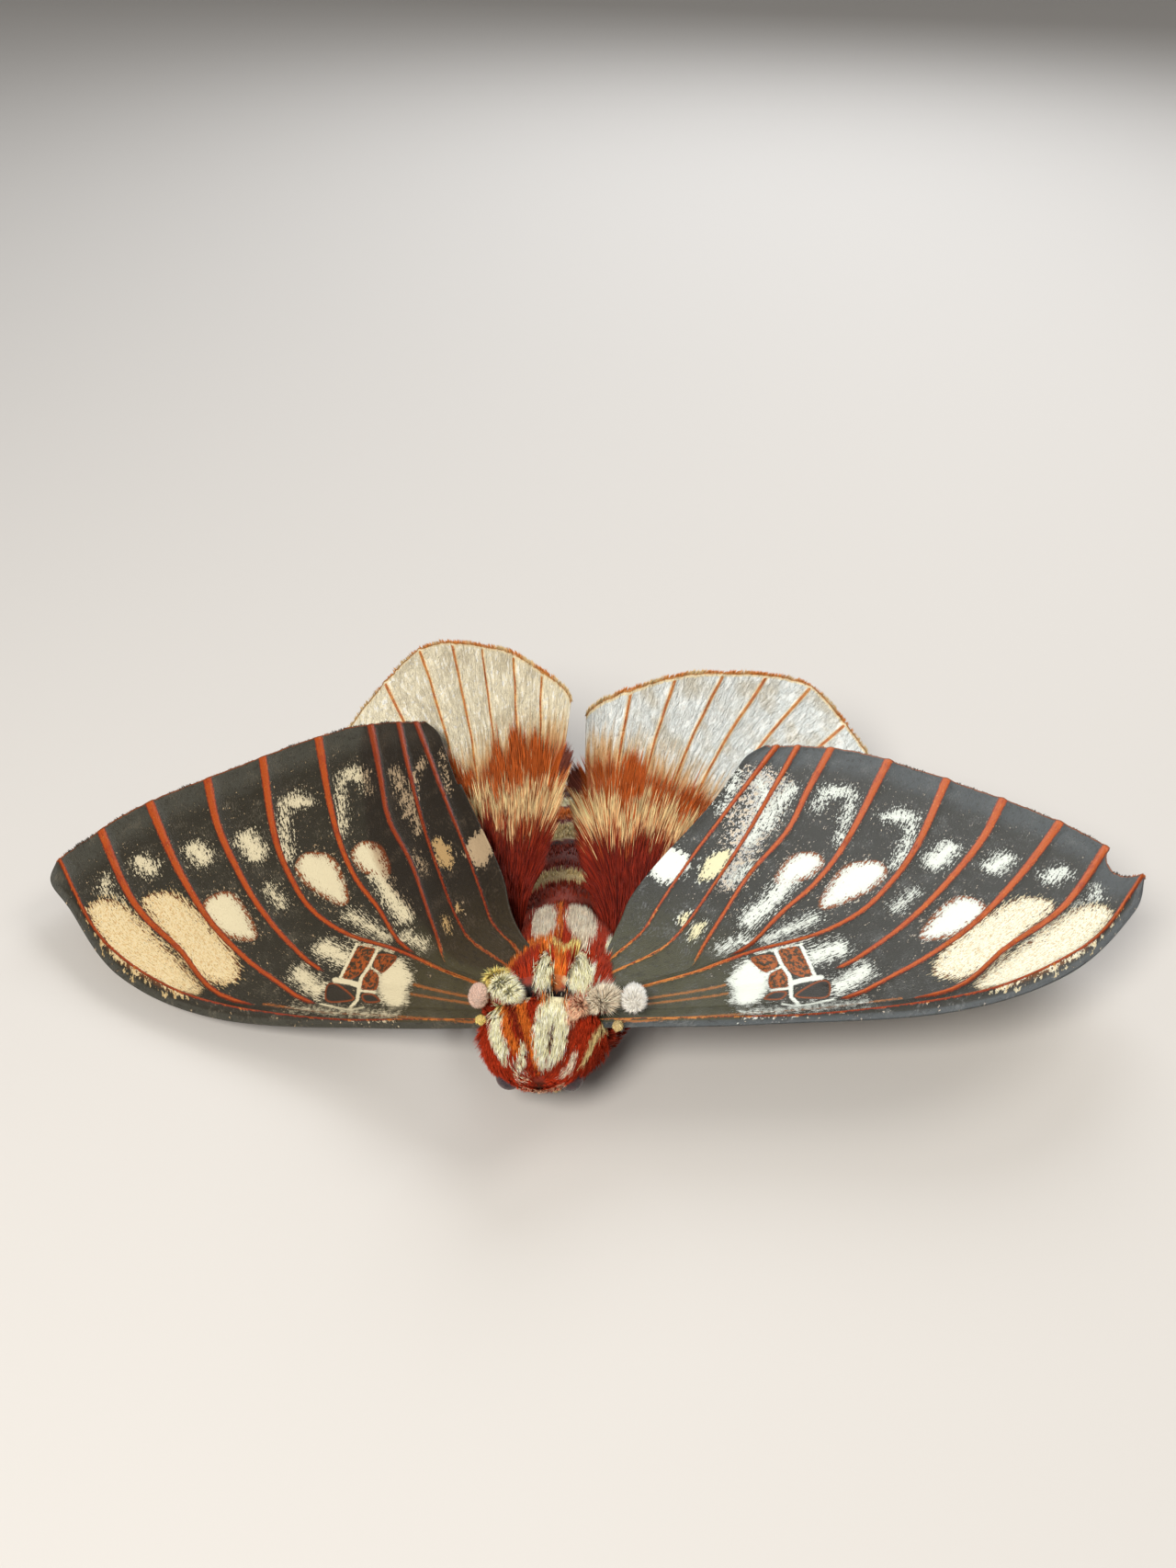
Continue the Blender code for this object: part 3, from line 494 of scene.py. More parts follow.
def curve(points, at):
    """Places at a number of steps along a smooth curve through the points; at may be an array."""
    whole = np.array(points, dtype=float)
    ends = np.vstack([2 * whole[0] - whole[1], whole, 2 * whole[-1] - whole[-2]])
    at = np.asarray(at, dtype=float)
    step = np.minimum(at.astype(int), len(whole) - 2)
    t = (at - step)[..., None]
    a, b, c, d = (ends[step + k] for k in range(4))
    square, cube = 2 * a - 5 * b + 4 * c - d, 3 * b - a - 3 * c + d
    return 0.5 * (2 * b + (c - a) * t + square * t ** 2 + cube * t ** 3)


def evenly(points, count):
    """Places at even distances along a smooth curve through the points."""
    fine = curve(points, np.linspace(0, len(points) - 1, 30 * len(points)))
    length = np.concatenate([[0], np.cumsum(np.linalg.norm(np.diff(fine, axis=0), axis=1))])
    wanted = np.linspace(0, length[-1], count)
    return np.stack([np.interp(wanted, length, fine[:, k]) for k in range(fine.shape[1])], axis=1)


def smooth_step(value, low, high):
    share = np.clip((value - low) / (np.asarray(high) - low), 0, 1)
    return share * share * (3 - 2 * share)


def unit(vectors):
    return vectors / np.maximum(np.linalg.norm(vectors, axis=-1, keepdims=True), 1e-9)


def to_stroke(places, line, halves):
    """How deep each place lies inside a stroke of changing half width; negative outside."""
    line = np.array(line, dtype=float)
    halves = np.broadcast_to(np.array(halves, dtype=float), (len(line),))
    best = np.full(places.shape[:-1], -1e3)
    for k in range(len(line) - 1):
        along = line[k + 1] - line[k]
        share = np.clip((places - line[k]) @ along / max(along @ along, 1e-9), 0, 1)
        away = np.linalg.norm(places - (line[k] + share[..., None] * along), axis=-1)
        best = np.maximum(best, halves[k] + (halves[k + 1] - halves[k]) * share - away)
    return best


def to_outline(places, corners):
    """How deep each place lies inside a smooth closed outline; negative outside."""
    closed = list(corners[-1:]) + list(corners) + list(corners[:2])
    ring = curve(closed, np.linspace(1, len(corners) + 1, 49))[:-1]
    shape = places.shape[:-1]
    flat = places.reshape(-1, 2)
    near = np.full(len(flat), 1e3)
    inside = np.zeros(len(flat), dtype=bool)
    for start, end in zip(ring, np.roll(ring, -1, axis=0)):
        along = end - start
        share = np.clip((flat - start) @ along / max(along @ along, 1e-9), 0, 1)
        near = np.minimum(near, np.linalg.norm(flat - (start + share[:, None] * along), axis=1))
        crosses = (start[1] > flat[:, 1]) != (end[1] > flat[:, 1])
        rise = end[1] - start[1] if abs(end[1] - start[1]) > 1e-9 else 1e-9
        inside ^= crosses & (flat[:, 0] < start[0] + (flat[:, 1] - start[1]) / rise * along[0])
    return np.where(inside, near, -near).reshape(shape)


def new_piece(name, mesh, material):
    """Links a finished mesh that stands in the model's frame, and rides it on the body."""
    mesh.materials.append(material)
    piece = bpy.data.objects.new(name, mesh)
    bpy.context.scene.collection.objects.link(piece)
    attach(piece, "root")
    return piece


def to_metres(places):
    return (np.asarray(places) + [BODY_X, BODY_Y, 0.0]) * MM


def put_values(mesh, name, values):
    layer = mesh.attributes.new(name, "FLOAT", "POINT")
    layer.data.foreach_set("value", np.asarray(values, dtype=np.float32).ravel())


def put_colours(mesh, name, colours):
    layer = mesh.attributes.new(name, "FLOAT_COLOR", "POINT")
    whole = np.ones((len(colours), 4), dtype=np.float32)
    whole[:, :3] = colours
    layer.data.foreach_set("color", whole.ravel())


def put_map(mesh, name, places):
    """A UV map from one place for each vertex."""
    corners = np.empty(len(mesh.loops), dtype=np.int32)
    mesh.loops.foreach_get("vertex_index", corners)
    layer = mesh.uv_layers.new(name=name)
    layer.data.foreach_set("uv", np.asarray(places, dtype=np.float32)[corners].ravel())


def turned(degrees, axis):
    """The matrix of a turn about X, Y or Z."""
    angle = math.radians(degrees)
    cos, sin = math.cos(angle), math.sin(angle)
    rows = {
        "X": [[1, 0, 0], [0, cos, -sin], [0, sin, cos]],
        "Y": [[cos, 0, sin], [0, 1, 0], [-sin, 0, cos]],
        "Z": [[cos, -sin, 0], [sin, cos, 0], [0, 0, 1]],
    }
    return np.array(rows[axis])


def wing_place(flat, pose, root, reach, sign):
    """Where points of the flat wing lie once the wing is bent, turned and set on its root."""
    u, v = flat[..., 0], flat[..., 1]
    lift = -pose["droop"] * (u / reach) ** 2
    lift = lift - pose["camber"] * ((v - CAMBER_MIDDLE) / CAMBER_REACH) ** 2
    lift = lift + pose["twist"] * (u / reach) * (v / TWIST_REACH)
    point = np.stack([u, v, lift], axis=-1)
    if pose["fold"]:
        start, end = (np.array([*place, 0.0]) for place in FOLD_LINE)
        along = unit(end - start)
        behind = (flat - start[:2]) @ np.array([-along[1], along[0]]) > 0
        away = point - start
        angle = math.radians(pose["fold"])
        bent = away * math.cos(angle) + np.cross(along, away) * math.sin(angle)
        bent = bent + (away @ along)[..., None] * along * (1 - math.cos(angle)) + start
        point = np.where(behind[..., None], bent, point)
    turn = turned(pose["sweep"], "Z") @ turned(-pose["lift"], "Y") @ turned(pose["incidence"], "X")
    point = point @ turn.T
    return (point + np.array(root)) * np.array([sign, 1.0, 1.0])


def hindwing_veins():
    """Gently bowed veins from the root to the outer margin."""
    span = HINDWING_CORNER - HINDWING_TIP
    veins = []
    for k, end in enumerate(HINDWING_VEIN_ENDS):
        base = np.array([0.6 + 0.05 * k, 0.4 + 0.38 * k])
        tip = curve(HINDWING_OUTLINE, HINDWING_TIP + end * span)
        bow = np.array([-(tip - base)[1], (tip - base)[0]]) * 0.03
        middle = [tuple(base + (tip - base) * share + bow) for share in (0.35, 0.7)]
        veins.append(([tuple(base)] + middle, end, 0, 1.0))
    return veins


class WingPlan:
    """A flat wing as a grid: rays from the root to the outer margin, with the veins among them."""

    def __init__(self, outline, tip, corner, veins, steps, stations, swell, notch=(0.0, 0.0, 0.0), wear=0.0,
                 seed=1):
        rng = np.random.default_rng(seed)
        span = corner - tip
        front = evenly(outline[:tip + 1], stations)
        back = evenly(outline[:corner - 1:-1], stations)
        self.veins = []
        rays, shares = [front], [0.0]
        for points, end, start, wide in veins:
            ray = evenly(points + [tuple(curve(outline, tip + end * span))], stations)
            rays.append(ray)
            shares.append(end)
            self.veins.append((ray, start, wide))
        rays.append(back)
        shares.append(1.0)
        spread = np.linspace(0, 1, stations)[:, None]
        rows, between, ends = [], [], []
        bites = rng.normal(0, 1, 400)
        for k in range(len(rays) - 1):
            near, far = rays[k], rays[k + 1]
            gap = np.linalg.norm(near[-1] - far[-1])
            last = k == len(rays) - 2
            for j in range(steps + last):
                share = j / steps
                place = shares[k] + (shares[k + 1] - shares[k]) * share
                row = near + (far - near) * share
                target = curve(outline, tip + place * span)
                toward = unit(near[len(near) // 2] - near[-1])
                bite = -min(gap / 8, 1.0) * swell * math.sin(math.pi * share) ** 0.7
                worn = np.interp(place * 120, np.arange(400), bites) * wear
                bite += worn * math.sin(math.pi * share) ** 0.3
                low, high, deep = notch
                if high > low:
                    edge = (place - low) / (high - low)
                    bite += deep * max(math.sin(math.pi * min(max(edge, 0), 1)), 0) ** 0.6
                target = target + toward * bite
                row = row + spread ** 3 * (target - row[-1])
                rows.append(row)
                between.append(share if not (last and j == steps) else 0.0)
                ends.append(place)
        self.flat = np.array(rows)
        self.between = np.array(between)[:, None] * np.ones((1, stations))
        self.share = np.ones((len(rows), 1)) * spread[:, 0][None]
        self.ends = np.array(ends)
        steps_along = np.linalg.norm(np.diff(self.flat, axis=1), axis=2)
        self.run = np.concatenate([np.zeros((len(rows), 1)), np.cumsum(steps_along, axis=1)], axis=1)
        self.rim = self.run[:, -1:] - self.run
        margin_steps = np.diff(self.flat[:, -1], axis=0, prepend=self.flat[:1, -1])
        self.across = np.cumsum(np.linalg.norm(margin_steps, axis=1))
        self.vein_shares = np.array(shares[1:-1])

    def vein_depth(self, root_half, margin_half):
        """How deep each place lies inside the nearest vein; negative beside it."""
        depth = np.full(self.flat.shape[:2], -9.0)
        for ray, start, wide in self.veins:
            run = np.linspace(0, 1, len(ray))
            halves = (root_half + (margin_half - root_half) * run ** 2) * wide
            halves = halves - smooth_step(start - ray[:, 0], -2.0, 0.5) * (halves + 0.3) if start else halves
            coarse = slice(None, None, 6)
            line = np.vstack([ray[coarse], ray[-1:]])
            depth = np.maximum(depth, to_stroke(self.flat, line, np.append(halves[coarse], halves[-1])))
        return depth


def grid_normals(places):
    """Upward directions over a wing's grid."""
    normals = unit(np.cross(np.gradient(places, axis=1), np.gradient(places, axis=0)))
    return -normals if normals[..., 2].mean() < 0 else normals


def vein_ridge(plan, halves):
    """How deep each place lies inside a vein, and the vein's rounded height there from 0 to 1."""
    vein = plan.vein_depth(*halves)
    half = halves[0] + (halves[1] - halves[0]) * plan.share ** 2
    return vein, np.sqrt(np.clip(1 - (1 - np.clip(vein / half, 0, 1)) ** 2, 0, 1))


def wing_mesh(name, plan, places, normals, raised, thickness):
    """A closed thin sheet over the plan's grid; returns the mesh and each vertex's grid index."""
    rows, columns = places.shape[:2]
    bm = bmesh.new()
    bmesh.ops.create_grid(bm, x_segments=rows - 1, y_segments=columns - 1, size=0.5)
    station = bm.verts.layers.int.new("station")
    under = bm.verts.layers.int.new("under")
    for vert in bm.verts:
        row = round((vert.co.x + 0.5) * (rows - 1))
        vert[station] = row * columns + round((vert.co.y + 0.5) * (columns - 1))
    doubled = bmesh.ops.extrude_face_region(bm, geom=bm.faces[:], use_keep_orig=True)
    for item in doubled["geom"]:
        if isinstance(item, bmesh.types.BMVert):
            item[under] = 1
    sunk = thickness / 2 + UNDER_SHARE * np.maximum(raised, 0)
    upper = to_metres(places + normals * (raised + thickness / 2)[..., None]).reshape(-1, 3)
    lower = to_metres(places - normals * sunk[..., None]).reshape(-1, 3)
    for vert in bm.verts:
        vert.co = (lower if vert[under] else upper)[vert[station]]
    bmesh.ops.recalc_face_normals(bm, faces=bm.faces)
    mesh = bpy.data.meshes.new(name)
    bm.to_mesh(mesh)
    bm.free()
    mesh.shade_smooth()
    index = np.empty(len(mesh.vertices), dtype=np.int32)
    mesh.attributes["station"].data.foreach_get("value", index)
    low = np.empty(len(mesh.vertices), dtype=np.int32)
    mesh.attributes["under"].data.foreach_get("value", low)
    for layer in ("station", "under"):
        mesh.attributes.remove(mesh.attributes[layer])
    return mesh, index, low


def wing_unwrap(flat):
    """The bake's map of places on a flat wing."""
    return flat / (BAKE_SPAN * FOREWING_REACH) + BAKE_CORNER


def wing_maps(mesh, plan, index, low):
    """The flat map, the map that follows the rays, and the bake's map with both faces apart."""
    flat = plan.flat.reshape(-1, 2)[index]
    across = plan.across[:, None] * np.ones_like(plan.share)
    flow = np.stack([plan.run, across], axis=-1).reshape(-1, 2)[index]
    bake = wing_unwrap(flat)
    bake[:, 1] += low * BAKE_UNDERSIDE
    put_map(mesh, "OFBake", bake)
    put_map(mesh, "Flat", flat)
    put_map(mesh, "Flow", flow)
    mesh.uv_layers["OFBake"].active = True
    mesh.uv_layers["OFBake"].active_render = True


def seat(places, share, sign, depth):
    """Draws the root of a wing into the body's side."""
    weight = np.clip(1 - share / ROOT_BLEND, 0, 1) ** 2
    shift, width, middle, half = section(np.clip(places[..., 1], BODY_START, BODY_END))
    across = np.sqrt(np.maximum(1 - ((places[..., 2] - middle) / half) ** 2, 0.25))
    wanted = shift + sign * (width * across - depth)
    out = places.copy()
    out[..., 0] += (wanted - places[..., 0]) * weight
    return out


def section(y):
    """Sideways shift, half width, middle height and half height of the whole body at places along it."""
    at = np.interp(y, WHOLE_TABLE[:, 0], np.arange(len(WHOLE_TABLE)))
    row = curve(WHOLE_SECTIONS, at)
    return row[..., 1], row[..., 2], (row[..., 3] + row[..., 4]) / 2, (row[..., 3] - row[..., 4]) / 2


def around(angle, y, inset=0.0):
    """The place on the body's surface at an angle in degrees from the top, drawn in by a depth."""
    shift, width, middle, half = section(y)
    turn = np.radians(angle)
    x = shift + (width - inset) * np.sin(turn)
    z = middle + (half - inset) * np.cos(turn)
    return np.stack([x, np.broadcast_to(y, np.shape(x)), np.maximum(z, 0.06)], axis=-1)


def angle_of(places):
    """The angle from the top, in degrees, at which places lie around the body."""
    shift, width, middle, half = section(np.clip(places[..., 1], BODY_START, BODY_END))
    return np.degrees(np.arctan2((places[..., 0] - shift) / width, (places[..., 2] - middle) / half))


def coat_inset(y, angle=0.0):
    """How deep the skin lies below the coat's tips."""
    full = bpy.context.scene.moth_coat.depth / MM
    depth = full + (0.3 - full) * smooth_step(np.asarray(y, dtype=float), 13.0, 16.5)
    below = smooth_step(np.abs(angle), 100, 150)
    depth = depth * (1 - 0.55 * below)
    open_part = np.exp(-((np.asarray(angle) - GROOVE_MIDDLE) / GROOVE_SPREAD) ** 4)
    for (place, half, deep), part in ((COLLAR_GROOVE, open_part), (WAIST_GROOVE, 1.0)):
        depth = depth + deep * np.exp(-((y - place) / half) ** 2) * (1 - below) * part
    rings = 0.5 + 0.5 * np.cos(2 * np.pi * (y - 14.0) / RING_LENGTH)
    depth = depth + RING_GROOVE * rings ** 4 * (y > 15.5)
    nose = smooth_step(np.asarray(y, dtype=float), -4.5, -3.2)
    return depth * (0.35 + 0.65 * nose)


def coat_colours(places):
    """The colour of the coat at places on or near the body."""
    y = np.clip(places[:, 1], BODY_START, BODY_END)
    angle = angle_of(places)
    surface = around(angle, y)
    colours = np.tile(np.array(COAT_COLOURS["red"]), (len(places), 1))
    # Painted shade: the thorax's sides and underside and the head's underside turn dark brown, where they lie
    # in shade
    turn = np.interp(y, [-1.0, 3.0], [85.0, 0.0])
    dark = smooth_step(np.abs(angle), 74 + turn, 95 + turn)[:, None]
    colours = colours * (1 - dark) + np.array(COAT_COLOURS["brown"]) * dark
    hind = y > THORAX_END
    colours[hind] = COAT_COLOURS["deep"]
    edge = np.sin(angle * 0.9) * 0.12 + np.sin(angle * 2.7) * 0.08
    for place, half, colour in ABDOMEN_BANDS:
        inside = hind & (np.abs(y + edge - place) < half)
        colours[inside] = COAT_COLOURS[colour]
    beneath = hind & (np.abs(angle) > 115)
    colours[beneath] = COAT_COLOURS["tan"]
    for colour, stroke in BODY_MARKS:
        table = np.array(stroke, dtype=float)
        line = around(table[:, 0], table[:, 1])
        inside = (to_stroke(surface, line, table[:, 2]) > 0) & ~hind
        colours[inside] = COAT_COLOURS[colour]
    return colours


def strand_shape(bends):
    """A thin tapered hair of three sides, one unit long, drawn out from a circle bend by bend."""
    bm = bmesh.new()
    bmesh.ops.create_circle(bm, segments=3, radius=1.0, cap_ends=True)
    for height, size in (*bends, (1.0, 0.02)):
        top = max(bm.faces, key=lambda face: face.calc_center_median().z)
        drawn = bmesh.ops.extrude_face_region(bm, geom=[top], use_keep_orig=top.calc_center_median().z < 0.01)
        verts = [item for item in drawn["geom"] if isinstance(item, bmesh.types.BMVert)]
        for vert in verts:
            flat = Vector((vert.co.x, vert.co.y)).normalized() * size
            vert.co = (flat.x, flat.y, height)
    tip = [vert for vert in bm.verts if vert.co.z > 0.9]
    bmesh.ops.pointmerge(bm, verts=tip, merge_co=Vector((0.0, 0.0, 1.0)))
    bmesh.ops.triangulate(bm, faces=bm.faces)
    bmesh.ops.recalc_face_normals(bm, faces=bm.faces)
    bm.verts.ensure_lookup_table()
    verts = np.array([tuple(vert.co) for vert in bm.verts])
    faces = np.array([[vert.index for vert in face.verts] for face in bm.faces])
    bm.free()
    return verts, faces


def clumped(roots, tips, rng, spacing, pull):
    """Draws the tips of neighbouring hairs together into small locks."""
    count = max(int(len(roots) / spacing), 1)
    chosen = rng.choice(len(roots), count, replace=False)
    tree = KDTree(count)
    for k, index in enumerate(chosen):
        tree.insert(roots[index], k)
    tree.balance()
    owner = np.array([chosen[tree.find(root)[1]] for root in roots])
    near = np.linalg.norm(roots - roots[owner], axis=1)
    share = pull * np.exp(-(near / 0.7) ** 2)
    return tips + (tips[owner] - tips) * share[:, None]


def hair(name, roots, ups, lies, lengths, widths, lifts, colours, unwrap, slot, rng, spacing=14, pull=0.6,
         shape=None):
    """One mesh of many hairs: each rises from its root and bends over along its lie."""
    shape, faces = shape or SHORT_HAIR
    lies = unit(lies - (lies * ups).sum(1, keepdims=True) * ups)
    rise = np.radians(lifts)[:, None]
    tips = roots + (lies * np.cos(rise) + ups * np.sin(rise)) * lengths[:, None]
    tips = clumped(roots, tips, rng, spacing, pull)
    tips[:, 2] = np.maximum(tips[:, 2], 0.05)
    reach = tips - roots
    side = unit(np.cross(lies, ups))
    t = shape[:, 2][None, :, None]
    bow = ups[:, None] * (lengths * np.sin(rise[:, 0] * 0.9) * 0.55)[:, None, None] * (t * (1 - t))
    sunk = ups[:, None] * 0.12 * (1 - t)
    middle = roots[:, None] + reach[:, None] * t + bow - sunk
    across = side[:, None] * (shape[:, 0][None, :, None] * widths[:, None, None] / 2)
    thick = ups[:, None] * (shape[:, 1][None, :, None] * widths[:, None, None] / 4)
    places = (middle + across + thick).reshape(-1, 3)
    places[:, 2] = np.maximum(places[:, 2], 0.02)
    count = len(roots)
    corners = (faces[None] + (np.arange(count) * len(shape))[:, None, None]).reshape(-1)
    mesh = bpy.data.meshes.new(name)
    mesh.vertices.add(count * len(shape))
    mesh.vertices.foreach_set("co", to_metres(places).astype(np.float32).ravel())
    mesh.loops.add(len(corners))
    mesh.loops.foreach_set("vertex_index", corners.astype(np.int32))
    mesh.polygons.add(len(corners) // 3)
    mesh.polygons.foreach_set("loop_start", np.arange(0, len(corners), 3, dtype=np.int32))
    mesh.update(calc_edges=True)
    mesh.shade_smooth()
    # Painted shade and light: each hair darker at its root, where the coat shades it, and brighter towards
    # its tip
    light = (0.92 + 0.45 * shape[:, 2])[None, :, None]
    tint = np.clip(colours[:, None] * light, 0, 1).reshape(-1, 3)
    put_colours(mesh, "tint", tint)
    spot = np.stack([shape[:, 0] * 0.001, (shape[:, 2] - 0.5) * 0.003], axis=-1)
    put_map(mesh, "OFBake", (unwrap[:, None] + spot[None]).reshape(-1, 2))
    new_piece(name, mesh, coat_paint())


def coat_paint():
    """Soft hair in the colour that each strand carries."""
    found = bpy.data.materials.get("hair")
    if found:
        return found
    paint = Paint("hair", Roughness=0.6, Specular_IOR_Level=0.15)
    tint = paint.read("tint", "Color")
    return paint.finish(Base_Color=tint)


def varied(colours, rng, amount=0.22):
    """Each hair a little lighter or darker than its neighbours."""
    return np.clip(colours * (1 + rng.normal(0, amount, (len(colours), 1))), 0.004, 0.95)


class MOTH_OT_stage(bpy.types.Operator):
    """Builds the floor, the lights and the camera"""

    bl_idname = "moth.stage"
    bl_label = "Stage and camera"

    def execute(self, context):
        sizes = context.scene.moth_stage
        paint = Paint("floor", Roughness=0.85)
        floor = paint.finish(Base_Color=tuple(sizes.floor) + (1.0,))
        bm = bmesh.new()
        profile = [(-2.0, 0.0), (1.2, 0.0), (1.5, 0.04), (1.7, 0.2), (1.8, 0.5), (1.82, 2.0)]
        verts = [bm.verts.new((-2.5, y, z - 0.00001)) for y, z in profile]
        edges = [bm.edges.new(pair) for pair in zip(verts, verts[1:])]
        drawn = bmesh.ops.extrude_edge_only(bm, edges=edges)
        moved = [item for item in drawn["geom"] if isinstance(item, bmesh.types.BMVert)]
        bmesh.ops.translate(bm, verts=moved, vec=Vector((5.0, 0.0, 0.0)))
        bmesh.ops.recalc_face_normals(bm, faces=bm.faces)
        mesh = bpy.data.meshes.new("studio_floor")
        bm.to_mesh(mesh)
        bm.free()
        mesh.shade_smooth()
        mesh.materials.append(floor)
        piece = bpy.data.objects.new("studio_floor", mesh)
        context.scene.collection.objects.link(piece)

        world = bpy.data.worlds.new("studio")
        context.scene.world = world
        world.use_nodes = True
        world.node_tree.nodes["Background"].inputs["Color"].default_value = (1.0, 0.97, 0.93, 1.0)
        world.node_tree.nodes["Background"].inputs["Strength"].default_value = 0.32
        context.scene.view_settings.view_transform = "Standard"

        lamps = [
            ("key", (-0.10, -0.22, 0.26), (0.0, -0.01, 0.0), 0.14, sizes.key, (1.0, 0.95, 0.87)),
            ("side", (0.17, 0.08, 0.24), (0.02, 0.0, 0.0), 0.16, sizes.side, (1.0, 0.96, 0.90)),
            ("back", (0.07, 0.34, 0.27), (0.0, 0.0, 0.01), 0.26, sizes.back, (0.96, 0.98, 1.0)),
        ]
        for name, place, aim, size, power, colour in lamps:
            lamp = bpy.data.lights.new(name, "AREA")
            lamp.shape = "DISK"
            lamp.size = size
            lamp.energy = power
            lamp.color = colour
            holder = bpy.data.objects.new(name, lamp)
            holder.location = place
            holder.rotation_euler = (Vector(aim) - Vector(place)).to_track_quat("-Z", "Y").to_euler()
            context.scene.collection.objects.link(holder)

        camera = bpy.data.cameras.new("camera")
        camera.sensor_fit = "VERTICAL"
        camera.sensor_height = 36.0
        camera.lens = FOCAL_PIXELS / IMAGE_HEIGHT * camera.sensor_height
        camera.clip_start = 0.005
        holder = bpy.data.objects.new("camera", camera)
        x, y, z = CAMERA_PLACE
        holder.location = ((x + BODY_X) * MM, (y + BODY_Y) * MM, z * MM)
        holder.rotation_euler = (math.radians(90 - CAMERA_DOWN), 0.0, math.radians(CAMERA_TURN))
        context.scene.collection.objects.link(holder)
        context.scene.camera = holder
        return {"FINISHED"}


def forewing_paint():
    """Dark scales with orange veins, white spots, and a dusting of white specks that is partly painted sheen.
    """
    sizes = bpy.context.scene.moth_wings
    paint = Paint("forewing_scales", Specular_IOR_Level=0.3)
    flat = paint.add("ShaderNodeUVMap", {"uv_map": "Flat"})
    flow = paint.add("ShaderNodeUVMap", {"uv_map": "Flow"})
    vein, rim, reach, front = map(paint.read, ("vein", "rim", "reach", "front"))
    clear, score, apex, yellow = map(paint.read, ("clear", "score", "apex", "yellow"))
    window, lattice, dust, stripe = map(paint.read, ("window", "lattice", "dust", "stripe"))
    shade = paint.read("shade", "Color")

    broad = paint.noise(flat, (1.0, 1.0, 1.0), 0.55, 3.0)
    streak = paint.noise(flow, (1.0, 5.5, 1.0), 1.0, 3.0, 0.6)
    fine = paint.noise(flow, (3.2, 9.0, 1.0), 1.0, 2.0, 0.6)
    grain = paint.noise(flat, (1.0, 1.0, 1.0), 11.0, 2.0, 0.6)
    cloud = paint.noise(flat, (1.0, 1.0, 1.0), 2.2, 3.0, 0.6)
    waves = paint.noise(flow, (3.0, 1.6, 1.0), 1.0, 3.0, 0.6)
    # Single scales: a mean of nought and a spread of about one
    scale = (fine * 0.55 + grain * 0.25 + streak * 0.35 - 0.575) / 0.075

    field = paint.mix(tuple(sizes.field), tuple(sizes.olive), 1 - (reach + broad * 4.0).over(8.0, 18.0))
    band = 1 - (rim + broad * 3.0 + streak * 1.5 - 2.2).over(2.0, 4.6)
    field = paint.mix(field, tuple(sizes.margin), band.larger(1 - front.over(0.5, 0.75)))
    field = paint.mix(field, (0.020, 0.019, 0.017), (cloud * 0.5 + streak * 0.5).over(0.48, 0.62) * 0.6)
    field = paint.mix(field, (0.16, 0.17, 0.17), (scale * 0.7 + (broad - 0.5) * 5.0).over(0.2, 1.6) * 0.5)

    # White specks: loose pale scales, and on the lit left wing also a painted sheen
    speck = (scale + dust + (cloud - 0.5) * 7.0).over(0.0, 0.35)
    pale = paint.mix((0.62, 0.64, 0.64), (0.72, 0.62, 0.48), cloud.over(0.45, 0.6))
    colour = paint.mix(field, pale, speck * 0.85)
    colour = paint.mix(colour, (0.46, 0.16, 0.03), (stripe * 8.0 + scale * 0.5).over(-0.5, 0.8) * 0.7)

    colour = paint.mix(colour, (0.34, 0.10, 0.02), (clear * 7.0 + scale * 0.6).over(-2.4, -0.6) * 0.75)
    colour = paint.mix(colour, (0.24, 0.09, 0.02), (apex * 6.0 + scale * 0.6).over(-2.2, -0.6) * 0.55)
    white = (scale + score + (cloud - 0.5) * 5.0 + (streak - 0.5) * 5.0).over(-0.1, 0.3)
    worn = (scale + 2.0 - score * 0.6).over(0.6, 2.6) * 0.45
    chalk = paint.mix(tuple(sizes.white), (0.50, 0.52, 0.50), worn)
    chalk = paint.mix(chalk, (0.76, 0.70, 0.40), yellow)
    colour = paint.mix(colour, chalk, white)

    tip_patch = (scale * 0.9 + apex * 2.8 + 0.5 + (streak - 0.5) * 8.0).over(-0.1, 0.3)
    dapple = (waves * 0.6 + cloud * 0.4).over(0.50, 0.60) * 0.5
    tan = paint.mix(tuple(sizes.cream), (0.66, 0.44, 0.20), dapple)
    tan = paint.mix(tan, (0.40, 0.30, 0.14), scale.over(0.2, 1.2) * 0.65)
    tan = paint.mix(tan, tuple(sizes.white), (-scale).over(-0.4, 1.0) * 0.75)
    colour = paint.mix(colour, tan, tip_patch)

    glass = (window + scale * 0.03).over(-0.02, 0.10)
    behind = paint.add("ShaderNodeSeparateXYZ", None, {"Vector": flat}, out=1)
    rust = paint.mix((0.050, 0.036, 0.020), (0.36, 0.095, 0.018), (waves + cloud * 0.6).over(0.74, 0.86))
    dusk = paint.mix((0.032, 0.030, 0.026), rust, (behind + cloud - 0.5).over(-0.25, 0.05))
    colour = paint.mix(colour, paint.mix((0.30, 0.07, 0.012), dusk, window.over(0.05, 0.26)), glass)
    line = (lattice + scale * 0.04).over(-0.04, 0.05)
    colour = paint.mix(colour, tuple(sizes.white), line)

    root = 1 - (reach + broad * 6.0).over(8.0, 16.0)
    along = paint.mix((0.20, 0.022, 0.008), tuple(sizes.vein), (vein + scale * 0.02).over(0.0, 0.13))
    along = paint.mix(along, (0.28, 0.030, 0.010), (broad * 0.5 + streak * 0.5).over(0.50, 0.64) * 0.8)
    along = paint.mix(along, (0.62, 0.27, 0.06), (scale + root * 1.6).over(0.8, 1.8) * 0.7)
    colour = paint.mix(colour, along, (vein + scale * 0.035).over(-0.05, 0.03))
    colour = paint.mix(colour, (0.30, 0.09, 0.03), 1 - (rim + (grain - 0.5) * 0.3).over(0.06, 0.2))
    colour = paint.add("ShaderNodeVectorMath", {"operation": "MULTIPLY"}, {0: colour, 1: shade})

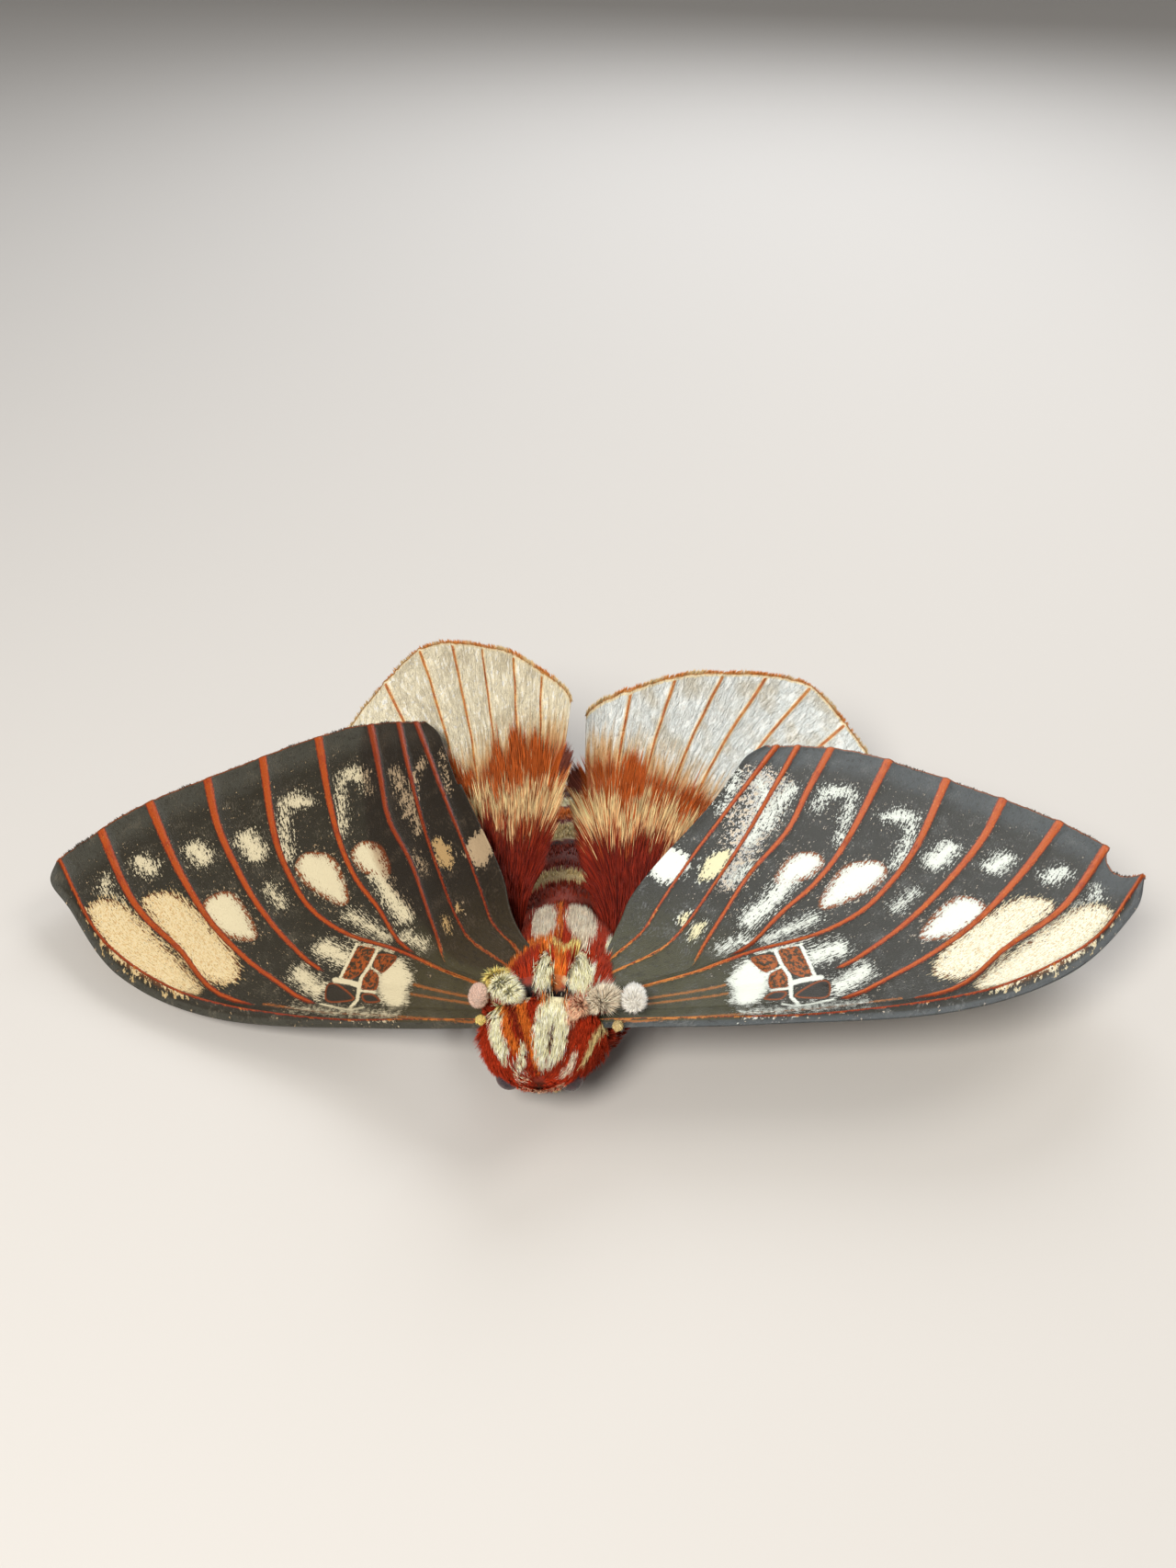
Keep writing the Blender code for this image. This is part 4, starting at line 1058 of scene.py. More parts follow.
    pale = tip_patch.larger(white).larger(line)
    rough = 0.42 + pale * 0.30 + (grain - 0.5) * 0.22
    height = scale * 0.06 + grain * 0.4 + pale * 0.4 + scale * pale * 0.05
    return paint.finish(Base_Color=colour, Roughness=rough, Normal=paint.bump(height, 0.00008))


def hindwing_paint():
    """Silvery cream scales with orange veins; red and cream zones near the root."""
    sizes = bpy.context.scene.moth_wings
    paint = Paint("hindwing_scales", Specular_IOR_Level=0.5)
    flow = paint.add("ShaderNodeUVMap", {"uv_map": "Flow"})
    flat = paint.add("ShaderNodeUVMap", {"uv_map": "Flat"})
    vein, rim, reach, warm = (paint.read(name) for name in ("vein", "rim", "reach", "warm"))
    streak = paint.noise(flow, (0.22, 1.6, 1.0), 1.0, 3.0, 0.6)
    fine = paint.noise(flow, (2.6, 8.0, 1.0), 1.0, 3.0, 0.6)
    crease = paint.noise(flow, (0.55, 1.7, 1.0), 1.0, 4.0, 0.62)
    crumple = paint.noise(flat, (1.0, 1.0, 1.0), 1.9, 4.0, 0.6)
    grain = paint.noise(flat, (1.0, 1.0, 1.0), 8.0, 2.0, 0.6)
    broad = paint.noise(flat, (1.0, 1.0, 1.0), 0.30, 2.0)
    fold = (crease - 0.5) * (crease - 0.5) * 30.0
    dent = (crumple - 0.5) * (crumple - 0.5) * 30.0

    # Painted shade: the right hindwing, which lies in warm shade, is tinted warm cream
    silver = paint.mix(tuple(sizes.silver), (0.90, 0.82, 0.60), warm)
    silver = paint.mix(silver, (0.56, 0.48, 0.32), broad.over(0.45, 0.70) * 0.6)
    # Painted shade in the valleys of the creases and painted highlights (gleam) on their ridges
    silver = paint.mix((0.22, 0.20, 0.16), silver, (fold + fine * 0.5).over(0.20, 0.42) * 0.35 + 0.65)
    gleam = (crease * 0.6 + crumple * 0.4 + (fine - 0.5) * 0.3).over(0.52, 0.62) * 0.8
    silver = paint.mix(silver, (0.94, 0.95, 0.92), gleam)
    shifted = reach + (streak - 0.5) * 9.0
    band = shifted.over(HIND_CREAM_END - 0.8, HIND_CREAM_END + 0.8)
    band = band * (1 - shifted.over(HIND_BAND_END - 3.0, HIND_BAND_END + 1.6))
    red = 1 - shifted.over(HIND_RED_END - 1.5, HIND_RED_END + 0.6)
    colour = paint.mix(silver, (0.62, 0.40, 0.17), 1 - shifted.over(HIND_BAND_END - 0.5, HIND_BAND_END + 3.5))
    colour = paint.mix(colour, (0.40, 0.085, 0.012), band)
    colour = paint.mix(colour, (0.20, 0.018, 0.007), red)
    worn = (grain - 0.5) * 0.2 + (streak - 0.5) * 0.15
    colour = paint.mix(colour, (0.78, 0.60, 0.32), (vein + worn).over(-0.18, -0.06) * 0.6)
    along = paint.mix((0.46, 0.11, 0.012), (0.60, 0.27, 0.05), (grain * 0.5 + crease * 0.5).over(0.46, 0.6))
    colour = paint.mix(colour, along, (vein + worn * 0.6).over(-0.04, 0.05))
    colour = paint.mix(colour, (0.80, 0.68, 0.44), 1 - (rim + (grain - 0.5) * 0.5).over(0.40, 0.55))
    colour = paint.mix(colour, (0.48, 0.20, 0.04), 1 - (rim + (grain - 0.5) * 0.3).over(0.16, 0.26))
    rough = 0.34 + (grain - 0.5) * 0.3 + red * 0.3
    height = fine * 0.5 + crease * 2.4 + crumple * 1.2 + grain * 0.25 - fold * 0.5 + dent * 0.3
    return paint.finish(Base_Color=colour, Roughness=rough, Normal=paint.bump(height, 0.00020))


def ripples(flat, seed, size):
    """Gentle waves over a flat wing, as sums of a few slanting sines."""
    rng = np.random.default_rng(seed)
    total = np.zeros(flat.shape[:2])
    for k in range(9):
        wave = rng.normal(0, 1, 2)
        wave = wave / np.linalg.norm(wave) * rng.uniform(0.25, 1.1)
        total += np.sin(flat @ wave * 1.6 + rng.uniform(0, 6.28)) / (1 + k * 0.3)
    return total * size


def fringe(name, plan, places, normals, length, colour_at, slot, seed):
    """Short hairs along the outer margin, pointing on from the rays."""
    rng = np.random.default_rng(seed)
    count = FRINGE_COUNT
    rows = rng.uniform(0, len(plan.flat) - 1.001, count)
    low = rows.astype(int)
    share = (rows - low)[:, None]

    def at(grid, column):
        return grid[low, column] * (1 - share) + grid[low + 1, column] * share

    roots = at(places, -1) + at(normals, -1) * rng.uniform(-0.05, 0.05, (count, 1))
    lies = unit(at(places, -1) - at(places, -4)) + rng.normal(0, 0.22, (count, 3))
    lies = unit(lies)
    ups = unit(at(normals, -1))
    roots = roots - lies * 0.15
    lengths = rng.uniform(0.55, 1.1, count) * length
    ends = plan.ends[low]
    near = np.min(np.abs(ends[:, None] - plan.vein_shares[None]), axis=1)
    colours = varied(colour_at(near), rng)
    unwrap = wing_unwrap(at(plan.flat, -1))
    lifts = rng.normal(0, 8, count)
    hair(name, roots, ups, lies, lengths, rng.uniform(0.07, 0.12, count), lifts, colours, unwrap, slot, rng,
         spacing=5, pull=0.35)


class MOTH_OT_forewings(bpy.types.Operator):
    """Builds the two forewings with their veins, spots, and white specks that are partly painted sheen"""

    bl_idname = "moth.forewings"
    bl_label = "Forewings"

    def execute(self, context):
        sizes = context.scene.moth_wings
        material = forewing_paint()
        for side, sign in SIDES.items():
            pose = FOREWING_POSES[side]
            seed = 11 if side == "left" else 12
            outline, tip = list(FOREWING_OUTLINE), FOREWING_TIP
            if side == "right":
                outline[tip:tip + 1] = RIGHT_TIP
                tip = tip + 1
            plan = WingPlan(outline, tip, tip + FOREWING_CORNER - FOREWING_TIP, FOREWING_VEINS, sizes.steps,
                            sizes.stations, SWELL[side], NOTCH[side], 0.05, seed)
            places = wing_place(plan.flat, pose, FOREWING_ROOT, FOREWING_REACH, sign)
            places = seat(places, plan.share, sign, SEAT_DEPTH)
            normals = grid_normals(places)
            vein, ridge = vein_ridge(plan, FOREWING_VEIN_HALF)
            pleat = np.sin(np.pi * plan.between) * plan.share * (1 - smooth_step(-plan.rim, -0.6, 0.0) * 0.6)
            raised = sizes.vein_height / MM * ridge - sizes.pleat / MM * pleat
            raised = raised + ripples(plan.flat, seed, 0.03) * plan.share
            mesh, index, low = wing_mesh(f"forewing_skin_{side}", plan, places, normals, raised,
                                         sizes.thickness / MM)
            flat = plan.flat
            marks = {"vein": vein, "rim": plan.rim, "reach": np.linalg.norm(flat, axis=2)}
            for name, outlines in (("clear", CLEAR_SPOTS), ("cream", CREAM_PATCHES), ("apex", APICAL_PATCHES),
                                   ("window", WINDOWS), ("yellow", CREAM_PATCHES[2:])):
                marks[name] = np.max([to_outline(flat, spot) for spot in outlines], axis=0)
            for name, strokes in (("fluff", FLUFF_STROKES), ("lattice", LATTICE), ("stripe", STREAKS)):
                marks[name] = np.max([to_stroke(flat, line, half) for line, half in strokes], axis=0)
            marks["front"] = np.linalg.norm(flat - flat[:1], axis=2)
            marks["yellow"] = smooth_step(marks["yellow"], -0.3, 0.1) * 0.8
            cream, fluff = marks.pop("cream"), marks.pop("fluff")
            sharp = np.maximum(marks["clear"] / 0.24, cream / 0.26)
            marks["score"] = np.clip(np.maximum(sharp, np.minimum(fluff / 0.4, 2.5)), -9, 4)
            near = smooth_step(np.maximum(fluff, marks["clear"]), -1.6, 0.1)
            inner = smooth_step(to_stroke(flat, DUST_AND_SHEEN_LINE, (1.6, 2.2, 2.4)), -1.5, 1.5)
            # Painted sheen and shade: the left wing's inner zone gets many more white specks than that of the
            # right wing, which lies in shade
            dust = -2.0 + 1.2 * near + (1.9 if side == "left" else 0.4) * inner
            clean = 2.5 * (1 - smooth_step(plan.rim, 1.0, 3.5))
            marks["dust"] = dust - clean - smooth_step(-flat[..., 0], -9, -5)
            shades = np.ones((*flat.shape[:2], 3))
            if side == "right":
                folded = smooth_step(to_outline(flat, FOLD_ZONE), -0.4, 0.4)[..., None]
                shades = np.array(WARM_SHADE) * (1 - folded) + np.array(FOLD_SHADE) * folded
                # Painted shade: in the fold's zone the white specks thin out and the spots dim
                marks["dust"] = marks["dust"] - 1.5 * folded[..., 0]
                marks["score"] = marks["score"] - 0.7 * folded[..., 0]
            put_colours(mesh, "shade", shades.reshape(-1, 3)[index])
            for name, values in marks.items():
                put_values(mesh, name, values.reshape(-1)[index])
            wing_maps(mesh, plan, index, low)
            piece = new_piece(f"forewing_skin_{side}", mesh, material)
            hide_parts(f"forewing_{side}")

            def fringe_colour(near):
                grey, orange = np.array([0.09, 0.080, 0.070]), np.array([0.42, 0.11, 0.02])
                share = (1 - smooth_step(near, 0.008, 0.024))[:, None]
                return grey + (orange - grey) * share

            fringe(f"forewing_fringe_{side}", plan, places, normals, 0.35, fringe_colour,
                   "forewing", seed + 40)
        return {"FINISHED"}


class MOTH_OT_hindwings(bpy.types.Operator):
    """Builds the two hindwings and the long hair on their bases"""

    bl_idname = "moth.hindwings"
    bl_label = "Hindwings"

    def execute(self, context):
        sizes = context.scene.moth_wings
        veins = hindwing_veins()
        material = hindwing_paint()
        for side, sign in SIDES.items():
            pose = HINDWING_POSES[side]
            seed = 21 if side == "left" else 22
            plan = WingPlan(HINDWING_OUTLINE, HINDWING_TIP, HINDWING_CORNER, veins, sizes.steps,
                            int(sizes.stations * 0.7), SWELL["hind"], wear=0.07, seed=seed)
            places = wing_place(plan.flat, pose, HINDWING_ROOT, HINDWING_REACH, sign)
            places = seat(places, plan.share, sign, SEAT_DEPTH)
            normals = grid_normals(places)
            vein, ridge = vein_ridge(plan, HINDWING_VEIN_HALF)
            pleat = np.sin(np.pi * plan.between) * plan.share
            raised = 0.8 * sizes.vein_height / MM * ridge - sizes.pleat / MM * pleat
            raised = raised + ripples(plan.flat, seed, 0.05) * plan.share
            mesh, index, low = wing_mesh(f"hindwing_skin_{side}", plan, places, normals, raised,
                                         sizes.thickness / MM)
            reach = np.linalg.norm(plan.flat, axis=2)
            # Painted shade: marks the right hindwing as lying in warm shade
            warm = np.full(reach.shape, 1.0 if side == "right" else 0.0)
            for name, values in (("vein", vein), ("rim", plan.rim), ("reach", reach), ("warm", warm)):
                put_values(mesh, name, values.reshape(-1)[index])
            wing_maps(mesh, plan, index, low)
            piece = new_piece(f"hindwing_skin_{side}", mesh, material)
            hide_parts(f"hindwing_{side}")

            def fringe_colour(near):
                cream, orange = np.array([0.50, 0.36, 0.18]), np.array([0.48, 0.17, 0.04])
                share = (1 - smooth_step(near, 0.02, 0.06))[:, None]
                return cream + (orange - cream) * share

            fringe(f"hindwing_fringe_{side}", plan, places, normals, 0.6, fringe_colour,
                   "hindwing", seed + 40)
            self.base_hair(side, plan, places + normals * raised[..., None], normals, seed)
        return {"FINISHED"}

    @staticmethod
    def base_hair(side, plan, places, normals, seed):
        """Long hair along the rays: dark red, then cream, then a loose red-brown band."""
        rng = np.random.default_rng(seed + 5)
        count = BASE_COUNT
        reach = np.linalg.norm(plan.flat, axis=2)
        rows, columns = reach.shape
        row = rng.integers(int(rows * 0.18), rows, count * 4)
        row[:count] = rng.integers(int(rows * 0.95), rows, count)
        column = rng.integers(2, int(columns * 0.66), count * 4)
        far = reach[row, column]
        inner = row >= rows * 0.95
        waver = np.interp(row, np.arange(0, rows + 6, 6), rng.normal(0, 1.3, len(range(0, rows + 6, 6))))
        last = np.where(inner, 24.0, HIND_BAND_END - 3.2) + waver + rng.normal(0, 0.8, count * 4)
        thin = np.where(far < HIND_RED_END, 1.0, 0.8) * (far < last) * np.clip(far / 12, 0.15, 1)
        thin = thin * np.where(np.arange(count * 4) < count, np.where(far > 16, 0.85, 0.2) * (far > 5), 1.0)
        keep = np.where(rng.random(count * 4) < thin)[0]
        keep = np.concatenate([keep[keep < count], keep[keep >= count]])[:count]
        row, column, far, waver = row[keep], column[keep], far[keep], waver[keep]
        roots = places[row, column]
        ups = normals[row, column]
        ahead = places[row, np.minimum(column + 4, columns - 1)] - roots
        lies = unit(ahead) + rng.normal(0, 0.06, (len(keep), 3))
        edge = smooth_step(row / rows, 0.86, 1.0)[:, None]
        inward = np.array([-SIDES[side], 0.3, 0.0])
        lies = unit(lies) + inward * edge * np.where(far > 16, 1.5, 0.9)[:, None]
        red, cream = np.array([0.21, 0.018, 0.007]), np.array([0.70, 0.52, 0.27])
        band, dark = np.array([0.40, 0.085, 0.014]), np.array([0.10, 0.008, 0.005])
        lengths = rng.uniform(2.6, 4.4, len(keep))
        wobble = far + lengths * 0.6 + waver * 0.7 + rng.normal(0, 0.9, len(keep))
        colours = np.where((wobble < HIND_RED_END)[:, None], red, cream)
        share = smooth_step(wobble, HIND_RED_END - 2.0, HIND_RED_END + 1.0) * rng.uniform(0, 1, len(keep))
        shaded = (rng.random(len(keep)) < 0.3) & (wobble < HIND_RED_END)
        colours = np.where(shaded[:, None], dark, colours)
        blend = (share * (wobble < HIND_RED_END + 1.5))[:, None]
        colours = colours + (np.array([0.46, 0.12, 0.025]) - colours) * blend
        colours = np.where((wobble > HIND_CREAM_END)[:, None], band, colours)
        # Painted shade: the inner margin's hairs beyond the cream zone are dark, in the shade of the gap
        # between the hindwings
        shaded_gap = (row >= rows * 0.95) & (far > HIND_CREAM_END - 1.0)
        colours = np.where(shaded_gap[:, None], [0.13, 0.035, 0.022], colours)
        unwrap = wing_unwrap(plan.flat[row, column])
        widths, lifts = rng.uniform(0.08, 0.14, len(keep)), rng.uniform(2, 9, len(keep))
        hair(f"hindwing_hair_{side}", roots, ups, lies, lengths, widths, lifts, varied(colours, rng), unwrap,
             "hindwing", rng, spacing=26, pull=0.5, shape=LONG_HAIR)


def tube(bm, path, radii, sides, stations, knot=None):
    """A round tapered tube along a smooth path, with an optional swelling of each station."""
    line = evenly(path, stations)
    radius = np.interp(np.linspace(0, len(radii) - 1, stations), np.arange(len(radii)), radii)
    if knot is not None:
        radius = radius * knot(np.linspace(0, 1, stations))
    loops = []
    for k in range(stations):
        ahead = Vector(line[min(k + 1, stations - 1)] - line[max(k - 1, 0)]).normalized()
        across = ahead.cross(Vector((0, 0, 1))).normalized()
        up = across.cross(ahead).normalized()
        capped = k in (0, stations - 1)
        made = bmesh.ops.create_circle(bm, segments=sides, radius=1.0, cap_ends=capped)["verts"]
        for j, vert in enumerate(made):
            angle = math.tau * j / sides
            vert.co = Vector(line[k]) + (across * math.cos(angle) + up * math.sin(angle)) * radius[k]
            vert.co.z = max(vert.co.z, 0.0)
        edges = {edge for vert in made for edge in vert.link_edges}
        loops.append([edge for edge in edges if all(vert in made for vert in edge.verts)])
    for near, far in zip(loops, loops[1:]):
        bmesh.ops.bridge_loops(bm, edges=near + far)


def beside(side, place):
    """A place given from the front body's middle line, on one side of it."""
    x, y, z = place
    return np.array([float(section(np.float64(y))[0]) + SIDES[side] * x, y, z])


def solid(name, bm):
    """A scratch object in body millimetres, for joining."""
    bmesh.ops.recalc_face_normals(bm, faces=bm.faces)
    mesh = bpy.data.meshes.new(name)
    bm.to_mesh(mesh)
    bm.free()
    piece = bpy.data.objects.new(name, mesh)
    bpy.context.scene.collection.objects.link(piece)
    return piece


def solid_piece(name, bm, material):
    """A finished piece from a bmesh in body millimetres."""
    for vert in bm.verts:
        vert.co = to_metres(vert.co)
    mesh = bpy.data.meshes.new(name)
    bm.to_mesh(mesh)
    bm.free()
    mesh.shade_smooth()
    return new_piece(name, mesh, material)


def ball(place, size, segments=24, rings=14):
    bm = bmesh.new()
    bmesh.ops.create_uvsphere(bm, u_segments=segments, v_segments=rings, radius=1.0)
    for vert in bm.verts:
        vert.co = Vector(place) + Vector([vert.co[k] * size[k] for k in range(3)])
    return bm


def tegula(side):
    """Middle and half size of the lobe over a forewing root."""
    return (SIDES[side] * (TEGULA_OUT[side] - 0.85), *TEGULA_PLACE), LOBE_SIZE


class MOTH_OT_skin(bpy.types.Operator):
    """Builds the skin of the head, thorax, abdomen, legs, palps and wing lobes as one piece"""

    bl_idname = "moth.skin"
    bl_label = "Body skin"

    def execute(self, context):
        places = np.linspace(BODY_START + 0.05, BODY_END, SKIN_RINGS)
        angles = np.linspace(0, 360, SKIN_SIDES, endpoint=False)
        wrapped = (angles + 180) % 360 - 180
        bm = bmesh.new()
        loops = []
        for k, y in enumerate(places):
            ring = around(wrapped, np.full(SKIN_SIDES, y), coat_inset(y, wrapped))
            made = bmesh.ops.create_circle(bm, segments=SKIN_SIDES, radius=1.0,
                                           cap_ends=k in (0, SKIN_RINGS - 1))["verts"]
            for vert, place in zip(made, ring):
                vert.co = place
            edges = {edge for vert in made for edge in vert.link_edges}
            loops.append([edge for edge in edges if all(vert in made for vert in edge.verts)])
        for near, far in zip(loops, loops[1:]):
            bmesh.ops.bridge_loops(bm, edges=near + far)
        body = solid("skin_body", bm)
        others = bpy.data.collections.new("limbs")
        for side in SIDES:
            for pair, path in LEG_PATHS.items():
                bm = bmesh.new()
                whole = [beside(side, place) for place in path]
                whole[0] = whole[0] + (beside(side, (2.4, path[0][1] - 0.6, 3.6)) - whole[0]) * 0.8
                tube(bm, whole, [r - 0.04 for r in LEG_RADII], 14, 64, leg_knots)
                others.objects.link(solid(f"limb_{pair}_{side}", bm))
            place, size = tegula(side)
            others.objects.link(solid(f"lobe_{side}", ball(place, size)))
            for number, (place, size, *_) in enumerate(TUFTS[side]):
                others.objects.link(solid(f"tuft_{number}_{side}", ball(beside(side, place), size)))
            palp = beside(side, PALP_PLACE) + [0, 0, 0.25]
            others.objects.link(solid(f"mouth_{side}", ball(palp, PALP_SIZE)))
        join = body.modifiers.new("limbs", "BOOLEAN")
        join.operation = "UNION"
        join.operand_type = "COLLECTION"
        join.collection = others
        join.solver = "EXACT"
        context.view_layer.update()
        graph = context.evaluated_depsgraph_get()
        mesh = bpy.data.meshes.new_from_object(body.evaluated_get(graph))
        for piece in list(others.objects) + [body]:
            bpy.data.objects.remove(piece, do_unlink=True)
        bpy.data.collections.remove(others)
        mesh.name = "moth_skin"
        co = np.empty(len(mesh.vertices) * 3, dtype=np.float32)
        mesh.vertices.foreach_get("co", co)
        co = co.reshape(-1, 3).astype(float)
        colours = coat_colours(co)
        shift, width, middle, half = section(np.clip(co[:, 1], BODY_START, BODY_END))
        out = np.hypot((co[:, 0] - shift) / width, (co[:, 2] - middle) / half)
        colours[out > 1.03] = (0.13, 0.025, 0.012)
        for side in SIDES:
            clumps = [(beside(side, place), size, colour) for place, size, colour, *_ in TUFTS[side]]
            for place, size, colour in [(*tegula(side), LOBE_COLOURS[side])] + clumps:
                inside = np.linalg.norm((co - place) / (np.array(size) * 1.06), axis=1) < 1
                colours[inside] = COAT_COLOURS[colour]
        mesh.vertices.foreach_set("co", to_metres(co).astype(np.float32).ravel())
        put_colours(mesh, "tint", colours * 0.75)
        mesh.shade_smooth()
        mesh.materials.clear()
        piece = new_piece("moth_skin", mesh, skin_paint())
        names = ["head", "thorax", "abdomen"]
        names += [f"{part}_{side}" for side in SIDES for part in ("palp", "tegula")]
        names += [f"leg_{pair}_{side}" for side in SIDES for pair in LEG_PATHS]
        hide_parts(*names)
        return {"FINISHED"}


def leg_knots(share):
    """Narrow joints along a leg, with five short toe joints at its end."""
    knee = 1 - 0.22 * np.exp(-((share - 0.30) / 0.025) ** 2) - 0.18 * np.exp(-((share - 0.60) / 0.02) ** 2)
    toes = np.where(share > 0.62, 1 - 0.16 * (0.5 + 0.5 * np.cos((share - 0.62) / 0.076 * 2 * np.pi)) ** 3, 1)
    return knee * toes


def skin_paint():
    """Scaly skin in the coat's own markings."""
    paint = Paint("skin", Roughness=0.7)
    tint = paint.read("tint", "Color")
    place = paint.add("ShaderNodeTexCoord", out="Object")
    grain = paint.noise(place, (1.0, 1.0, 1.0), 6000.0, 2.0)
    colour = paint.mix(tint, (0.05, 0.012, 0.008), grain.over(0.5, 0.75) * 0.45)
    return paint.finish(Base_Color=colour, Normal=paint.bump(grain, 0.00005))


def body_frames(angle, y, inset):
    """Places, outward directions and the backward lie on the body's surface."""
    step = 0.02
    places = around(angle, y, inset)
    ahead = around(angle, np.minimum(y + step, BODY_END), inset)
    along = ahead - around(angle, np.maximum(y - step, BODY_START), inset)
    across = around(angle + 0.5, y, inset) - around(angle - 0.5, y, inset)
    ups = unit(np.cross(along, across))
    shift, _, middle, _ = section(y)
    centre = np.stack([shift, y, middle], axis=-1)
    ups = ups * np.sign((ups * (places - centre)).sum(1, keepdims=True) + 1e-9)
    back = np.array([0.0, 1.0, 0.0]) - ups * ups[:, 1:2]
    return places, ups, unit(back)


class MOTH_OT_coat(bpy.types.Operator):
    """Covers the body in hair, in patches small enough for one mesh each"""

    bl_idname = "moth.coat"
    bl_label = "Coat"

    # name, from and to along the body, widest angle range, share of the usual count, length, lift
    PATCHES = [
        ("coat_head", -4.45, -0.9, (-180, 180), 1.0, 0.62, 11),
        ("coat_collar", -1.2, 1.75, (-115, 115), 1.0, 0.72, 13),
        ("coat_thorax", 1.5, 7.0, (-115, 115), 1.1, 1.0, 16),
        ("coat_waist", 6.2, 14.6, (-115, 115), 1.1, 1.05, 14),
        ("coat_below", -1.5, 14.5, (115, 245), 0.4, 0.6, 16),
        ("coat_abdomen", 13.8, 37.5, (-180, 180), 0.95, 0.55, 11),
    ]

    def execute(self, context):
        sizes = context.scene.moth_coat
        for index, (name, start, end, spread, share, long, lift) in enumerate(self.PATCHES):
            rng = np.random.default_rng(100 + index)
            count = int(sizes.count * share)
            y, angle = self.scatter(rng, count, start, end, spread)
            places, ups, lies = body_frames(angle, y, coat_inset(y, angle))
            # The hair of the head and of the thorax's two pale tufts falls forward, the rest lies back
            bare = coat_colours(places).sum(1)
            tufts = (y < 6.3) & (np.abs(angle - 10) < 25) & (bare > 1.9)
            lies = np.where(((y < PARTING) | tufts)[:, None], -lies, lies)
            lies = unit(lies + rng.normal(0, 0.11, (count, 3)))
            lengths = rng.uniform(0.6, 1.15, count) * sizes.length / MM * long * np.where(tufts, 1.3, 1.0)
            lengths = lengths * np.where(bare < 0.06, 0.3, 1.0)
            lengths = lengths * (0.55 + 0.45 * smooth_step(y, -4.4, -3.0))
            colours = coat_colours(places + lies * lengths[:, None] * 0.5 + rng.normal(0, 0.13, (count, 3)))
            bright = colours.sum(1) > 1.2
            lifts = lift * rng.uniform(0.5, 1.4, count) + np.where(bright, 2, 0)
            lifts = lifts + 25 * np.exp(-((y - PARTING) / 0.4) ** 2) * ~tufts * (bare > 0.06)
            free = np.ones(count, dtype=bool)
            for side in SIDES:
                eye = beside(side, EYE_PLACE)
                free &= np.linalg.norm(places - eye, axis=1) > EYE_RADIUS + 0.18
                clumps = [(beside(side, place), size) for place, size, *_ in TUFTS[side]]
                for place, size in [tegula(side)] + clumps:
                    free &= np.linalg.norm((places - place) / (np.array(size) * 1.02), axis=1) > 1
            length_share = (y - BODY_START) / (BODY_END - BODY_START)
            unwrap = np.stack([(angle % 360) / 360, length_share], axis=-1) * 0.94 + 0.03
            widths = rng.uniform(0.75, 1.25, count) * sizes.width / MM
            hair(name, places[free], ups[free], lies[free], lengths[free], widths[free], lifts[free],
                 varied(colours[free], rng, 0.3), unwrap[free], "coat", rng, spacing=18, pull=0.4)
        self.limb_hair()
        return {"FINISHED"}

    @staticmethod
    def scatter(rng, count, start, end, spread):
        """Places along and around the body, spread evenly over its surface."""
        y = rng.uniform(start, end, count * 4)
        angle = rng.uniform(spread[0], spread[1], count * 4)
        _, width, _, half = section(y)
        wider = section(np.minimum(y + 0.1, BODY_END))[1] - section(np.maximum(y - 0.1, BODY_START))[1]
        slope = np.abs(wider) / 0.2
        area = (width + half) / 2 * np.sqrt(1 + slope ** 2)
        keep = np.where(rng.random(count * 4) < area / area.max())[0]
        while len(keep) < count:
            keep = np.concatenate([keep, keep])
        keep = keep[:count]
        return y[keep], (angle[keep] + 180) % 360 - 180

    @staticmethod
    def limb_hair():
        """Short hair on the lobes, the tufts, the palps and the legs."""
        rng = np.random.default_rng(300)
        parts = []

        def gather(roots, ups, lies, lengths, width, lift, colours, corner):
            count = len(roots)
            unwrap = corner + rng.uniform(0, 0.09, (count, 2))
            parts.append((roots, ups, lies, lengths, np.full(count, width), np.full(count, float(lift)),
                          colours, unwrap))

        for number, side in enumerate(SIDES):
            place, size = tegula(side)
            count = LOBE_COUNT
            ups = unit(rng.normal(0, 1, (count, 3)))
            roots = np.array(place) + ups * np.array(size) * 0.97
            lies = np.tile([0.0, 1.0, 0.0], (count, 1)) + rng.normal(0, 0.25, (count, 3))
            colours = varied(np.tile(COAT_COLOURS[LOBE_COLOURS[side]], (count, 1)), rng, 0.15)
            long = rng.uniform(0.5, 1.0, count) if side == "left" else rng.uniform(0.3, 0.5, count)
            gather(roots, ups, lies, long, 0.07, 14, colours, np.array([0.02 + 0.1 * number, 0.02]))
            for order, (place, size, colour, long, lie) in enumerate(TUFTS[side]):
                count = int(1000 * long)
                ups = unit(rng.normal(0, 1, (count, 3)) * [1, 1, 0.6] + [0, 0, 0.5])
                roots = beside(side, place) + ups * np.array(size) * 0.95
                lies = unit(np.array(lie) * [SIDES[side] * 2.2, 2.2, 0] + ups * [0.8, 0.8, 0]
                            + rng.normal(0, 0.15, (count, 3)))
                gather(roots, ups, lies, long * rng.uniform(0.6, 1.1, count), 0.08, 18,
                       varied(np.tile(COAT_COLOURS[colour], (count, 1)), rng, 0.32),
                       np.array([0.5 + 0.1 * order, 0.02 + 0.1 * number]))
            palp = beside(side, PALP_PLACE) + [0, 0, 0.25]
            ups = unit(rng.normal(0, 1, (PALP_COUNT, 3)) * [1, 1, 0.4] - [0, 0, 0.4])
            roots = palp + ups * np.array(PALP_SIZE)
            lies = np.tile([0.0, -0.3, -1.0], (PALP_COUNT, 1)) + rng.normal(0, 0.2, (PALP_COUNT, 3))
            colours = varied(np.tile(COAT_COLOURS["tan"], (PALP_COUNT, 1)), rng, 0.15)
